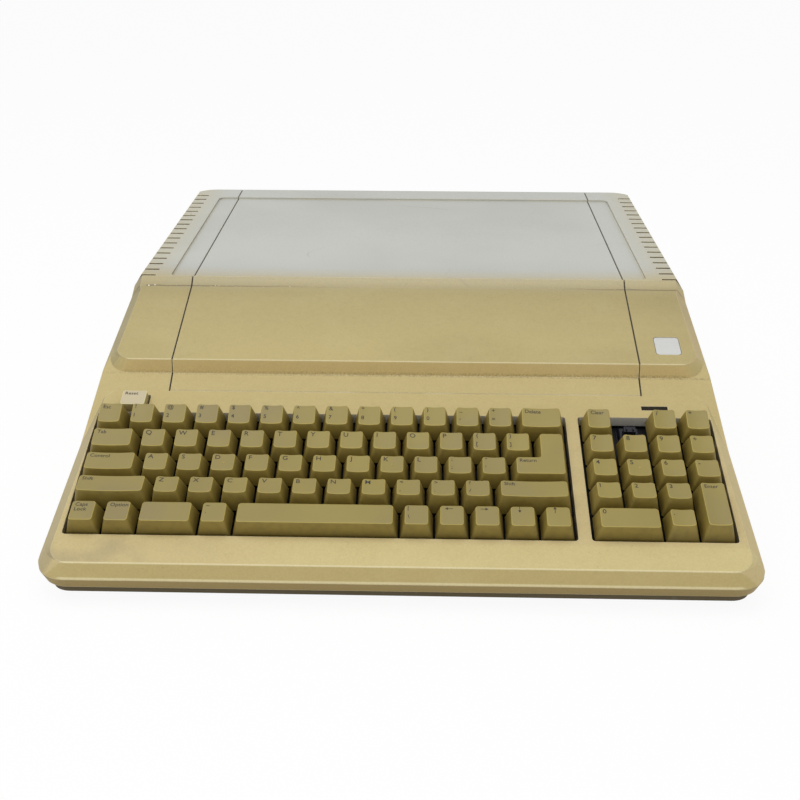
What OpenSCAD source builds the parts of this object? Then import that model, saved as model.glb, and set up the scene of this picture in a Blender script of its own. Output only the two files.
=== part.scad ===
// Wedge-shaped home computer with a built-in keyboard and numeric keypad.
// X runs to the right, Y to the back and Z up. The origin is on the table,
// under the middle of the case. All sizes are in millimetres and degrees.

/* [Case] */
// Width of the case at its widest line
case_w = 389; // [384:1:396]
// Depth of the case from nose to back
case_d = 457; // [452:1:464]
// Height from the table to the top of the back rim
case_h = 113; // [111:0.5:118]
// Thickness of the moulded walls
wall = 3; // [2.4:0.1:3.4]
// Inward lean of the side walls
side_draft = 7.5; // [6:0.5:8.5]
// Radius of the case's corners seen from above
corner_r = 18; // [15:1:21]
// Height of the case's bottom edge above the table
under_h = 10; // [9.5:0.5:10.5]
// Height of the nose's widest line
lip_h = 16; // [15:0.5:18]
// Setback of the bottom edge under the widest line
under_in = 3; // [2.5:0.5:4]

/* [Deck] */
// Rise of the keyboard deck
deck_angle = 19; // [17:0.5:20]
// Length of the deck up its slope
deck_len = 135.5; // [134:0.5:138]
// Width of the bevel round the deck and the sloped face
bevel = 6.5; // [5.5:0.5:7]
// Length of the steeper band behind the deck
band_len = 13.7; // [12:0.5:16]
// Rise of the band behind the deck
band_angle = 29.5; // [26:0.5:32]
// Height of the step up to the sloped face
riser_h = 8.6; // [7:0.2:10]
// Backward lean of the step, as a distance
riser_lean = 1.4; // [1:0.2:2.4]

/* [Top] */
// Depth of the flat top
top_d = 231; // [227:0.5:234]
// Fall of the top from its back rim to its front edge
top_fall = 1.8; // [1:0.1:2.5]
// Depth of the brow between the top and the sloped face
brow_d = 6; // [5:0.5:8]
// Fall of the brow
brow_drop = 4.8; // [4:0.1:5.5]
// Width of the bevel along the top's sides
top_bevel_w = 3.5; // [3:0.5:5]
// Fall of the bevel along the top's sides
top_bevel_h = 5.5; // [5:0.5:6.5]
// Depth of the shallow tray in the top
tray_depth = 1.6; // [1:0.1:1.8]
// Width of the shallow tray
tray_w = 317; // [308:1:322]
// Width of the rim behind the tray
tray_rim = 25; // [22:1:28]
// Number of vent slots on each side
vent_count = 18; // [14:1:20]
// Width of each vent slot
vent_slot = 2.6; // [2:0.1:3]
// Height of the vent slots down the side
vent_drop = 30; // [24:1:34]

/* [Lid] */
// Width of the lift-off lid
lid_w = 286; // [282:1:290]
// Gap between the lid and the case
lid_gap = 0.5; // [0.4:0.1:0.8]

/* [Keyboard] */
// Distance between key centres
pitch = 19.05; // [18.8:0.05:19.1]
// Left edge of the main key block from the middle of the case
keys_x = -181.6; // [-182:0.1:-181]
// Front edge of the key blocks from the front of the deck
keys_v = 20.5; // [19.5:0.1:21]
// Gap between the main key block and the keypad
keypad_gap = 9.7; // [9:0.1:10]
// Gap between a key block and the edge of its well
well_gap = 1.2; // [1:0.1:1.4]
// Radius of the wells' corners
well_r = 2; // [1:0.5:3]
// Depth of the wall round each well
well_depth = 7; // [5:0.5:7.5]
// Width of a key's skirt less than the pitch
key_gap = 1.15; // [1:0.05:1.6]
// Width that a key loses from its skirt to its top, on each side
key_taper = 2.7; // [2.2:0.1:3]
// Depth that a key loses at its front
key_front = 1.6; // [1.2:0.1:2]
// Depth that a key loses at its back
key_back = 2.6; // [2.2:0.1:3.2]
// Depth of the dish in a key's top
key_dish = 0.7; // [0.4:0.1:0.9]
// Wall of a keycap
key_wall = 1.3; // [1:0.1:1.5]
// Travel of a key
key_travel = 3.8; // [3.2:0.1:4]
// Height of a key's skirt below the deck's surface
skirt_drop = 2; // [1.5:0.1:2.5]

/* [Mounting] */
// Height of the base plate's upper face above the table
base_h = 6; // [5.5:0.5:7]
// Thickness of the steel sheets
sheet = 1.2; // [1:0.1:1.6]
// Thickness of the circuit boards
board = 1.6; // [1.4:0.1:1.8]
// Height of the keyboard plate's top below the deck's surface
plate_drop = 9; // [8.6:0.1:9.6]
// Diameter of the rubber feet
foot_d = 19; // [16:1:22]
// Distance of the feet from the middle, sideways
foot_x = 160; // [150:1:166]
// Distance of the feet from the middle, front to back
foot_y = 190; // [180:1:196]
// Diameter of the pan-head screws' threads
screw_d = 3.5; // [3:0.1:4]

/* [Inside] */
// Width of the power supply
supply_w = 92; // [86:1:94]
// Length of the power supply
supply_l = 265; // [250:1:268]
// Height of the power supply
supply_h = 58; // [52:1:62]
// Width of the logic board
logic_w = 250; // [240:1:254]
// Depth of the logic board
logic_d = 330; // [320:1:334]
// Height of the standoffs under the logic board
standoff_h = 8; // [7:0.5:9]
// Number of expansion slots
slot_count = 7; // [5:1:8]
// Distance between expansion slots
slot_pitch = 22.86; // [21:0.01:23]
// Diameter of the loudspeaker
speaker_d = 57; // [50:1:60]

/* [Hidden] */
$fn = 48;
eps = 0.01;
far = 600;

// Driving points of the side view
back_corner_r = 9;
brow_bevel = 5;
nose_y = -case_d / 2;
rear_y = case_d / 2;
half_w = case_w / 2;
crease_y = nose_y + bevel * (cos(deck_angle) - sin(deck_angle));
crease_z = lip_h + bevel * (cos(deck_angle) + sin(deck_angle));
band_y = crease_y + deck_len * cos(deck_angle);
band_z = crease_z + deck_len * sin(deck_angle);
riser_y = band_y + band_len * cos(band_angle);
riser_z = band_z + band_len * sin(band_angle);
slope_y = riser_y + riser_lean;
slope_z = riser_z + riser_h;
top_y = rear_y - top_d;
top_z = case_h - top_fall;
brow_y = top_y - brow_d;
brow_z = top_z - brow_drop;
slope_angle = atan2(brow_z - slope_z, brow_y - slope_y);
brow_angle = atan2(brow_drop, brow_d);
slope_len = norm([brow_y - slope_y, brow_z - slope_z]);
top_angle = atan2(top_fall, top_d);

// Base and what stands on it
plate_z = base_h;
floor_z = plate_z - sheet;
boss_d = 8;
boss_inset = 13;
boss_h = 14;
nose_boss_h = 10;
boss_rib = 2.4;
base_rim_h = 6;
small_screw_d = 3;
screw_clearance = 0.4;
thread_clearance = 0.1;

// Back opening and its panel
back_in = 9;
back_w = case_w - 41;
back_top = case_h - 15;
catch_x = 105;
catch_y = rear_y - 14;
catch_z = back_top + 2.5;
rib_h = 6;

// Tray, vents and badge
tray_front = 0.8;
tray_r = 5;
vent_x = half_w - 26;
vent_front = top_y + 2;
vent_back = rear_y - 20;
badge_x = half_w - 31.9;
badge_v = 18.5;
badge_w = 15.2;
badge_d = 17;
badge_t = 0.9;

// Places of the keys
row_count = 5;
main_units = 14.5;
pad_units = 4;
keypad_x = keys_x + main_units * pitch + keypad_gap;
well_end_gap = 0.6;
well_wall = 1.6;
skirt = pitch - key_gap;
plate_front = 9;
plate_back = 131.5;
plate_half = half_w - 10.5;

// Switches, and the plungers that move with the keys
stem_w = 7;
stem_d = 4.4;
stem_gap = 0.3;
stem_spare = 1.8;
housing_w = 13.6;
housing_d = 12.6;
housing_top = 5;
housing_drop = 6;
post_d = 2.2;
plunger_foot = -plate_drop - 0.6;
plunger_top = 1.2;

// Wire under the space bar
wire_d = 1;
wire_z = 0.9;
wire_back = 8.4;
wire_eye_x = 32;
wire_tip_v = 0.8;
wire_tip_z = -3.5;

// Reset key and power lamp
reset_x = 32.2 - half_w;
reset_v = 124;
reset_w = 15.5;
reset_d = 13;
reset_top = 5;
reset_gap = 0.9;
lamp_x = half_w - 44.7;
lamp_v = 124.6;
lamp_w = 15.7;
lamp_d = 3.6;
lamp_inset = 0.3;

// Power inlet and switch
inlet_x = 46.5 - half_w;
inlet_z = 34;
inlet_w = 28;
inlet_h = 20;
switch_x = inlet_x + 42;
switch_w = 22;
switch_h = 28;
rocker_w = 14;
rocker_h = 22;
rocker_y = rear_y - back_in - 4;
rocker_tip = 20;

// Logic board's sockets
logic_right = half_w - 20.5;
jack_z = 23;
jack_d = 8;
jack_bore_d = 3.6;
jack_bore_l = 14;
jack_body_w = 11;
cassette_x = [logic_right - 62, logic_right - 80];
video_x = logic_right - 40;
video_d = 8.3;
stick_x = logic_right - 114;
stick_w = 17;
stick_h = 8.4;
pin_pitch = 2.77;
pin_row = 2.84;
pin_d = 1.1;

// Loudspeaker
speaker_x = -120;
speaker_y = -120;

// Routes of the inner cables
power_route = [
    [-100, -47, 34], [-100, -52, 34], [-99, -58, 33], [-96, -64, 31], [-91, -68, 28], [-84, -70, 26],
    [-76, -69, 25], [-69, -65, 26], [-64, -59, 27], [-61, -53, 27], [-61, -48, 27]
];
speaker_route = [
    [-105.6, -120, 22], [-101, -120, 22], [-96, -119, 21], [-90, -117, 19], [-84, -112, 19],
    [-78, -105, 19.5], [-72, -98, 18.5], [-66, -95, 17.5], [-60, -94, 17]
];
ribbon_x = 0;
ribbon_w = 33;
plug_w = 36;
plug_d = 8;
ribbon_route = [
    [-103, 46.8], [-102, 43], [-98, 38], [-92, 34], [-86, 32], [-81, 30], [-78, 27], [-78, 23]
];

// Heights of the key tops' middles above the deck and their tilts,
// from the front row to the back row
row_top = [8.8, 10.4, 8.6, 8.4, 9.9];
row_tilt = [-7, -5, 0, 5, 9];

// Widths of the keys in each row of the main block, front row first
row_widths = [
    [1, 1, 1.75, 1, 4.75, 1, 1, 1, 1, 1],
    [2.25, 1, 1, 1, 1, 1, 1, 1, 1, 1, 1, 2.25],
    [1.75, 1, 1, 1, 1, 1, 1, 1, 1, 1, 1, 1, 1.75],
    [1.5, 1, 1, 1, 1, 1, 1, 1, 1, 1, 1, 1, 1],
    [1, 1, 1, 1, 1, 1, 1, 1, 1, 1, 1, 1, 1, 1.5]
];

// ---- helpers ----

function unit(v) = v / norm(v);
function inward(v) = [v[1], -v[0]];

// Moves each side of a clockwise outline inwards by t, with mitred corners
function inset(p, t) = [
    for (i = [0 : len(p) - 1])
        let (
            a = inward(unit(p[i] - p[(i + len(p) - 1) % len(p)])),
            b = inward(unit(p[(i + 1) % len(p)] - p[i]))
        )
        p[i] + t * (a + b) / (1 + a * b)
];

// Sum of the first n numbers of a list
function sum_to(list, n) = n <= 0 ? 0 : list[n - 1] + sum_to(list, n - 1);

// Outline of the case from the side; its bottom edge is carried down by drop
function side_points(drop) = [
    [nose_y + under_in * (1 + drop / (lip_h - under_h)), under_h - drop],
    [nose_y, lip_h],
    [crease_y, crease_z],
    [band_y, band_z],
    [riser_y, riser_z],
    [slope_y, slope_z],
    [brow_y, brow_z],
    [top_y, top_z],
    [rear_y, case_h],
    [rear_y, under_h - drop]
];

// Half width of the case at a height above its widest line
function half_width(z) = half_w - (z - lip_h) * tan(side_draft);

// Outline of the case from the front
function front_points(drop) =
    let (
        low = half_w - under_in * (1 + drop / (lip_h - under_h)),
        high = half_width(case_h + wall)
    )
    [
        [-low, under_h - drop], [-half_w, lip_h], [-high, case_h + wall],
        [high, case_h + wall], [half_w, lip_h], [low, under_h - drop]
    ];

module across_x(w) {
    rotate([90, 0, 90]) linear_extrude(w, center = true) children();
}

module along_y(length) {
    translate([0, length, 0]) rotate([90, 0, 0]) linear_extrude(length) children();
}

module both_sides() {
    children();
    mirror([1, 0, 0]) children();
}

module on_deck() {
    translate([0, crease_y, crease_z]) rotate([deck_angle, 0, 0]) children();
}

module on_slope() {
    translate([0, slope_y, slope_z]) rotate([slope_angle, 0, 0]) children();
}

module on_brow() {
    translate([0, brow_y, brow_z]) rotate([brow_angle, 0, 0]) children();
}

module on_top() {
    translate([0, top_y, top_z]) rotate([top_angle, 0, 0]) children();
}

// Rectangle with rounded corners from its lower left corner
module rounded(w, d, r) {
    translate([r, 0]) square([w - 2 * r, d]);
    translate([0, r]) square([w, d - 2 * r]);
    for (x = [r, w - r], y = [r, d - r]) translate([x, y]) circle(r);
}

// Box from one corner to the other
module block(a, b) {
    translate(a) cube(b - a);
}

// ---- the case's form ----

// Room over the plane that bevels the edge between a face and the leaning side wall,
// t inside the case
module side_bevel(z0, angle, start, end, w, h, t) {
    turn = atan(tan(side_draft) * sin(angle));
    reach = 60;
    run = w + t * (norm([w, h]) - w) / h;
    translate([half_width(z0), 0, -t]) rotate([0, 0, turn]) translate([0, start, 0])
        along_y(end - start) polygon([
            [-reach, (reach - run) * h / w], [-reach, 3 * reach],
            [reach, 3 * reach], [reach, -(reach + run) * h / w]
        ]);
}

// Room over the plane of the band behind the deck, as far as a distance behind the step's foot
module over_band(t, back) {
    translate([0, riser_y, riser_z]) rotate([band_angle, 0, 0])
        translate([-far / 2, -far / 2, -t]) cube([far, far / 2 + back, far]);
}

// Rounds the deck's front corner above the widest line
module deck_corner(t) {
    r = corner_r - bevel;
    turn = atan(tan(side_draft) * sin(deck_angle));
    x = half_width(crease_z) - bevel - (r + r * sin(turn)) / cos(turn);
    reach = 40;
    up = 3;
    cone = r - t * sqrt(2);
    translate([x, r, 0]) difference() {
        translate([0, -reach, -reach]) cube([reach, reach, reach + up]);
        rotate_extrude() polygon([
            [0, -2 * reach], [cone + 2 * reach, -2 * reach], [cone - 2 * up, 2 * up], [0, 2 * up]
        ]);
    }
}

// Rounds the deck's back corner, where its bevel fades into the band
module deck_back_corner(t) {
    r = back_corner_r;
    turn = atan(tan(side_draft) * sin(deck_angle));
    v = deck_len - r;
    x = half_width(crease_z) - bevel - v * tan(turn) - r / cos(turn);
    reach = 3 * bevel;
    up = 1;
    cone = r - t * sqrt(2);
    intersection() {
        on_deck() translate([x, v, 0]) difference() {
            translate([0, 0, -reach]) cube([reach, r + bevel, reach + up]);
            rotate_extrude() polygon([
                [0, -2 * reach], [cone + 2 * reach, -2 * reach], [cone - 2 * up, 2 * up], [0, 2 * up]
            ]);
        }
        over_band(t, 0);
    }
}

// Rounds the case's nose from its bottom edge up past its widest line
module nose_corner(t) {
    r = corner_r - t;
    low = r - under_in;
    reach = 30;
    steep = under_in / (lip_h - under_h);
    translate([half_w - corner_r, nose_y + corner_r, 0]) difference() {
        translate([0, -reach, -reach]) cube([reach, reach, lip_h + 2 * reach]);
        rotate_extrude() polygon([
            [0, under_h - low / steep], [low, under_h], [r, lip_h], [r, 3 * reach], [0, 3 * reach]
        ]);
    }
}

// Rounds an upright corner that leans in with the side wall
module leaning_corner(y, r, way) {
    reach = 160;
    translate([half_w, y, lip_h]) rotate([0, -side_draft, 0]) mirror([0, way, 0])
        translate([-r, -r, 0]) difference() {
            translate([0, 0, -reach / 4]) cube([2 * r, 2 * r, reach]);
            translate([0, 0, -reach / 2]) cylinder(r = r, h = 2 * reach);
        }
}

// Rounds the corner of the sloped face over the step: a cone that widens downwards
module riser_corner(t) {
    top_r = corner_r - bevel;
    deep = riser_h + 2;
    low = deep + 2 * t;
    lean = tan(atan2(riser_lean, riser_h) + slope_angle);
    edge = half_width(slope_z) - bevel + 0.02;
    intersection() {
        on_slope() difference() {
            translate([edge - corner_r, -2 * corner_r, -low])
                cube([3 * corner_r, 3 * corner_r, low + deep]);
            hull() for (d = [-deep, low + 1]) {
                r = top_r + (corner_r - top_r) * d / deep;
                inner_r = r - t * sqrt(2);
                translate([edge + d - r, r - lean * d, -d]) linear_extrude(eps) {
                    circle(inner_r, $fn = 32);
                    translate([-corner_r, -inner_r]) square([corner_r, 2 * corner_r]);
                    square([inner_r, 3 * corner_r]);
                }
            }
        }
        over_band(t, 3 * corner_r);
    }
}

// The case as one solid, with every wall moved in by t and its foot carried down by drop
module case_form(t, drop) {
    difference() {
        intersection() {
            across_x(2 * half_w) polygon(inset(side_points(drop), t));
            translate([0, -far / 2, 0]) along_y(far) polygon(inset(front_points(drop), t));
        }
        both_sides() {
            nose_corner(t);
            leaning_corner(rear_y - t, corner_r - t, 0);
            on_deck() deck_corner(t);
            intersection() {
                on_deck() side_bevel(crease_z, deck_angle, corner_r - bevel - 0.5,
                    deck_len - back_corner_r + 0.5, bevel, bevel, t);
                over_band(t, 0);
            }
            deck_back_corner(t);
            riser_corner(t);
            intersection() {
                on_slope() side_bevel(slope_z, slope_angle, -bevel, slope_len + 20, bevel, bevel, t);
                on_brow() side_bevel(brow_z, brow_angle, -slope_len - 20, 20, brow_bevel, brow_bevel, t);
            }
            on_top() side_bevel(top_z, top_angle, -brow_d - 10, top_d + t, top_bevel_w, top_bevel_h, t);
        }
    }
}

// ---- the case ----

// Outline of the shallow tray in the top, grown by a margin
module tray_outline(grow) {
    w = tray_w + 2 * grow;
    d = top_d - tray_rim - tray_front + 2 * grow;
    translate([-w / 2, tray_front - grow]) rounded(w, d, tray_r + grow);
}

// The moulded skin before it is parted into case and lid
module skin() {
    difference() {
        union() {
            difference() {
                case_form(0, 0);
                case_form(wall, 2 * wall);
            }
            on_top() translate([0, 0, -wall - tray_depth])
                linear_extrude(tray_depth + eps) tray_outline(wall);
        }
        on_top() translate([0, 0, -tray_depth]) linear_extrude(far) tray_outline(0);
        block([-back_w / 2, rear_y - 2 * wall, -far], [back_w / 2, far, back_top]);
    }
}

// Room of the lid between the case's sides, grown by a gap
module lid_room(gap) {
    block([-lid_w / 2 - gap, band_y + lid_gap - gap, lip_h], [lid_w / 2 + gap, far, far]);
}

// Outline of a well in the deck for a block of keys, grown by a margin
module well_outline(x, units, grow) {
    w = units * pitch + 2 * (well_gap + grow);
    d = row_count * pitch + 2 * (well_end_gap + grow);
    translate([x - well_gap - grow, keys_v - well_end_gap - grow]) rounded(w, d, well_r + grow);
}

// Outline of the reset key's opening, grown by a margin
module reset_outline(grow) {
    w = reset_w + 2 * (reset_gap + grow);
    d = reset_d + 2 * (reset_gap + grow);
    translate([reset_x - w / 2, reset_v - d / 2]) rounded(w, d, 1 + grow);
}

module deck_openings(grow) {
    well_outline(keys_x, main_units, grow);
    well_outline(keypad_x, pad_units, grow);
    reset_outline(grow);
}

// Places of the bosses that carry the keyboard, on the deck
keyboard_boss_at = [
    for (x = [-150, -50, 60, 165]) [x, plate_front + 5],
    for (x = [-125, -20, 80, 125]) [x, reset_v]
];

// Places and heights of the bosses for the base's screws
nose_boss_x = [-100, 0, 100];
base_boss_y = [-170, -60, 60, 170];
base_boss_at = [
    for (s = [-1, 1], y = base_boss_y) [s * (half_w - boss_inset), y, boss_h],
    for (x = nose_boss_x) [x, nose_y + boss_inset, nose_boss_h]
];

// Ledge under the lid's edge, between two distances from the middle
module lid_ledge(x0, x1, t0, t1) {
    intersection() {
        difference() {
            translate([(x0 + x1) / 2, 0, 0]) across_x(x1 - x0) polygon(inset(side_points(0), t0));
            translate([(x0 + x1) / 2, 0, 0])
                across_x(x1 - x0 + 1) polygon(inset(side_points(far / 10), t1));
        }
        block([x0, band_y + 1, lip_h], [x1, rear_y - back_in - 14, far]);
    }
}

module upper_case() {
    ledge_t = wall + tray_depth + lid_gap;
    color("tan") difference() {
        union() {
            difference() {
                skin();
                lid_room(lid_gap);
            }
            // Walls round the wells
            on_deck() translate([0, 0, -well_depth])
                linear_extrude(well_depth - wall + eps) deck_openings(well_wall);
            // Ledges that carry the lid
            both_sides() {
                lid_ledge(lid_w / 2 - 4, lid_w / 2 + 4, ledge_t, ledge_t + 2);
                lid_ledge(lid_w / 2 + lid_gap, lid_w / 2 + 4, wall - eps, ledge_t + 2);
            }
            on_deck() {
                block([-lid_w / 2, deck_len - 8, -wall - 2.4], [lid_w / 2, deck_len + 8, -wall - 0.4]);
                block([-lid_w / 2, deck_len - 8, -wall - 1], [lid_w / 2, deck_len - 0.5, -wall / 2]);
            }
            // Returns of the back opening
            both_sides() {
                block([back_w / 2, rear_y - back_in + 0.3, under_h],
                    [back_w / 2 + wall, rear_y - wall / 2, back_top + wall]);
                block([lid_w / 2 + lid_gap, rear_y - back_in + 0.3, back_top],
                    [back_w / 2 + wall, rear_y - wall / 2, back_top + wall]);
            }
            // Bosses
            on_deck() for (p = keyboard_boss_at)
                translate([p.x, p.y, -plate_drop]) cylinder(d = boss_d - 2, h = plate_drop - wall + eps);
            for (p = base_boss_at) translate([p.x, p.y, plate_z]) cylinder(d = boss_d, h = p.z);
            both_sides() for (y = base_boss_y)
                block([half_w - boss_inset, y - boss_rib / 2, lip_h - 2],
                    [half_w - wall + 0.7, y + boss_rib / 2, plate_z + boss_h]);
            for (x = nose_boss_x)
                block([x - boss_rib / 2, nose_y + wall, plate_z + nose_boss_h - wall],
                    [x + boss_rib / 2, nose_y + boss_inset, plate_z + nose_boss_h]);
        }
        on_deck() translate([0, 0, -far / 2]) linear_extrude(far) deck_openings(0);
        on_deck() block([lamp_x - lamp_w / 2, lamp_v - lamp_d / 2, -2 * wall],
            [lamp_x + lamp_w / 2, lamp_v + lamp_d / 2, wall]);
        on_slope() translate([badge_x, badge_v, -badge_t]) linear_extrude(far) badge_outline(0.3);
        // Vents over the top's side bevels
        both_sides() for (i = [0 : vent_count - 1]) {
            y = vent_front + i * (vent_back - vent_front) / (vent_count - 1);
            block([vent_x, y - vent_slot / 2, case_h - vent_drop], [far, y + vent_slot / 2, far]);
        }
        // Pilot holes
        on_deck() for (p = keyboard_boss_at)
            translate([p.x, p.y, -plate_drop - 1])
                cylinder(d = small_screw_d + thread_clearance, h = plate_drop - wall);
        for (p = base_boss_at)
            translate([p.x, p.y, plate_z - 1]) cylinder(d = screw_d + thread_clearance, h = p.z - 1);
    }
}

module badge_outline(grow) {
    w = badge_w + 2 * grow;
    translate([-w / 2, -badge_d / 2 - grow]) rounded(w, badge_d + 2 * grow, 2);
}

module badge_plate() {
    color("silver") on_slope() translate([badge_x, badge_v, -badge_t])
        linear_extrude(badge_t - 0.2) badge_outline(0);
}

module lid() {
    color("tan") union() {
        intersection() {
            skin();
            lid_room(0);
        }
        // Tongues that the catches hold
        for (x = [-catch_x, catch_x])
            block([x - 8, catch_y - 1.2, catch_z + 3], [x + 8, catch_y + 1.2, case_h - wall / 2]);
        // Stiffening ribs under the top
        on_top() for (x = [-90, -30, 30, 90])
            block([x - 1, 20, -wall - tray_depth - rib_h], [x + 1, top_d - 40, -wall - tray_depth / 2]);
    }
}

module lamp_window() {
    color("darkslategray") on_deck()
        block([lamp_x - lamp_w / 2, lamp_v - lamp_d / 2, -wall],
            [lamp_x + lamp_w / 2, lamp_v + lamp_d / 2, -lamp_inset]);
}

// ---- the base ----

// Outline of the base plate, drawn in by a margin
module base_outline(margin) {
    side = under_in + wall + 1 + margin;
    translate([-half_w + side, nose_y + side])
        rounded(case_w - 2 * side, case_d - side - back_in, corner_r - side);
}

module base_plate() {
    color("gainsboro") difference() {
        union() {
            translate([0, 0, floor_z]) linear_extrude(sheet) base_outline(0);
            // Rim that stands inside the case's walls
            translate([0, 0, floor_z]) linear_extrude(base_rim_h) intersection() {
                difference() {
                    base_outline(0);
                    base_outline(sheet);
                }
                translate([-half_w, nose_y]) square([case_w, case_d - 3 * back_in]);
            }
        }
        for (p = base_boss_at)
            translate([p.x, p.y, floor_z - 1]) cylinder(d = screw_d + screw_clearance, h = sheet + 2);
        // Holes of the loudspeaker's grille
        for (i = [-2 : 2], j = [-2 : 2]) if (norm([i, j]) < 2.5)
            translate([speaker_x + i * 8, speaker_y + j * 8, floor_z - 1]) cylinder(d = 4, h = sheet + 2);
        for (p = concat(supply_screw_at, rear_screw_at))
            translate([p.x, p.y, floor_z - 1]) cylinder(d = screw_d + screw_clearance, h = sheet + 2);
    }
}

// Pan-head screw that points up from the plane z = 0
module screw(d, l) {
    translate([0, 0, -d * 0.5]) cylinder(d = 2 * d, h = d * 0.5);
    cylinder(d = d, h = l);
}

// All the screws that come up through the base
module case_screws() {
    color("silver") {
        for (p = base_boss_at) translate([p.x, p.y, floor_z]) screw(screw_d, p.z - 3);
        for (p = concat(supply_screw_at, rear_screw_at))
            translate([p.x, p.y, floor_z]) screw(screw_d, sheet + 5);
    }
}

module feet() {
    color("dimgray") for (x = [-foot_x, foot_x], y = [-foot_y, foot_y]) translate([x, y, 0])
        rotate_extrude() polygon([
            [0, 1], [foot_d / 2 - 4, 1], [foot_d / 2 - 4, 0], [foot_d / 2 - 1, 0],
            [foot_d / 2, 1], [foot_d / 2, floor_z], [0, floor_z]
        ]);
}

// ---- the back ----

panel_y = rear_y - back_in;
panel_in = panel_y - sheet;
panel_half = back_w / 2 + wall;
panel_flange = 10;
rear_screw_at = [for (x = [-234, -134, -34]) [logic_right + x, panel_in - 5]];
port_gap = 7;
port_h = 11;
port_taper = 2;
port_fit = 0.2;
plug_flange_t = 1.5;
// For each row of ports: left edge, count, room for each, width and height above the table
port_rows = [
    [logic_right - 212, 4, 46, 38, back_top - 16],
    [logic_right - 207, 5, 36, 26, back_top - 34]
];

// Plain cut-out of a port: a flat trapezoid with its middle at the origin
module port_shape(w) {
    polygon([
        [-w / 2, port_h / 2], [w / 2, port_h / 2],
        [w / 2 - port_taper, -port_h / 2], [-w / 2 + port_taper, -port_h / 2]
    ]);
}

// Places every port of the back panel and hands its width on
module at_ports(depth) {
    for (row = port_rows, i = [0 : row[1] - 1])
        translate([row[0] + i * (row[2] + port_gap), panel_in - 1, row[4]])
            along_y(depth) port_shape(row[3]);
}

module rear_panel() {
    color("gainsboro") difference() {
        union() {
            block([-panel_half, panel_in, plate_z], [panel_half, panel_y, back_top + wall - 0.5]);
            block([supply_x + supply_w + 2, panel_in - panel_flange, plate_z],
                [panel_half - 12, panel_in + eps, plate_z + sheet]);
            block([-panel_half + 12, panel_in - panel_flange, back_top + wall - 0.5 - sheet],
                [panel_half - 12, panel_in + eps, back_top + wall - 0.5]);
        }
        at_ports(sheet + 2);
        translate([inlet_x, panel_in - 1, inlet_z])
            along_y(sheet + 2) square([inlet_w, inlet_h], center = true);
        translate([switch_x, panel_in - 1, inlet_z])
            along_y(sheet + 2) square([switch_w, switch_h], center = true);
        translate([video_x, panel_in - 1, jack_z]) along_y(sheet + 2) circle(d = video_d + 1.5);
        for (x = cassette_x) translate([x, panel_in - 1, jack_z]) along_y(sheet + 2) circle(d = jack_d + 1);
        translate([stick_x, panel_in - 1, jack_z + 2])
            along_y(sheet + 2) square([stick_w + 1, stick_h + 1], center = true);
        for (p = rear_screw_at)
            translate([p.x, p.y, plate_z - 1]) cylinder(d = screw_d + thread_clearance, h = sheet + 2);
    }
}

module port_plugs() {
    color("tan") for (row = port_rows, i = [0 : row[1] - 1])
        translate([row[0] + i * (row[2] + port_gap), 0, row[4]]) {
            half = row[3] / 2 - port_fit;
            high = port_h / 2 - port_fit;
            translate([0, panel_y, 0])
                along_y(plug_flange_t) square([row[3] + 5, port_h + 4], center = true);
            translate([0, panel_in - 2, 0]) along_y(sheet + 2 + eps)
                polygon([
                    [-half, high], [half, high], [half - port_taper, -high], [-half + port_taper, -high]
                ]);
        }
}

module lid_catches() {
    base_z = back_top + wall - 0.5;
    color("ivory") for (x = [-catch_x, catch_x]) difference() {
        block([x - 11, catch_y - 5, base_z], [x + 11, catch_y + 3.5, catch_z + 7]);
        block([x - 8.4, catch_y - 2.6, base_z + 1], [x + 8.4, catch_y + 1.7, far]);
    }
}

// ---- power ----

supply_x = -half_w + 18.5;
supply_y = panel_in - supply_l;
supply_vents = 12;
supply_vent_pitch = 16;
supply_vent_w = 4;
supply_screw_at = [
    for (x = [15, supply_w - 15], y = [20, supply_l - 70]) [supply_x + x, supply_y + y]
];

// Pieces on the power supply's board
supply_board_gap = 5;
supply_post_d = 6;
supply_post_h = 7;
transformer = [48, 55, 36];
capacitor_d = 18;
capacitor_h = 32;
heat_sink = [3, 50, 34];

// Sheet-metal box with vents in its top and a floor under its board
module power_supply() {
    far_corner = [supply_x + supply_w, panel_in, plate_z + supply_h];
    inner = [sheet, sheet, sheet];
    color("silver") difference() {
        block([supply_x, supply_y, plate_z], far_corner);
        block([supply_x, supply_y, plate_z] + inner, far_corner - inner);
        translate([inlet_x, panel_in - 2 * sheet, inlet_z])
            along_y(far) square([inlet_w, inlet_h], center = true);
        translate([switch_x, panel_in - 2 * sheet, inlet_z])
            along_y(far) square([switch_w, switch_h], center = true);
        for (i = [0 : supply_vents - 1])
            block([supply_x + 14, supply_y + 30 + i * supply_vent_pitch, plate_z + supply_h - 2 * sheet],
                [supply_x + supply_w - 14, supply_y + 30 + supply_vent_w + i * supply_vent_pitch, far]);
        for (p = supply_screw_at)
            translate([p.x, p.y, plate_z - 1]) cylinder(d = screw_d + thread_clearance, h = sheet + 2);
    }
}

// Circuit board of the power supply with its transformer, capacitors and heat sink
module supply_board() {
    z = plate_z + sheet + supply_post_h;
    x = supply_x + supply_board_gap;
    y = supply_y + supply_board_gap;
    top = z + board;
    color("peru") {
        block([x, y, z], [x + supply_w - 2 * supply_board_gap, y + supply_l - 50, top]);
        for (dx = [4, supply_w - 14], dy = [4, supply_l - 54])
            translate([x + dx, y + dy, plate_z + sheet])
                cylinder(d = supply_post_d, h = z - plate_z - sheet);
    }
    color("dimgray") translate([x + 15, y + 70, top]) cube(transformer);
    color("midnightblue") for (dy = [25, 50])
        translate([x + 22, y + dy, top]) cylinder(d = capacitor_d, h = capacitor_h);
    color("silver") translate([x + 60, y + 10, top]) cube(heat_sink);
}

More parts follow.
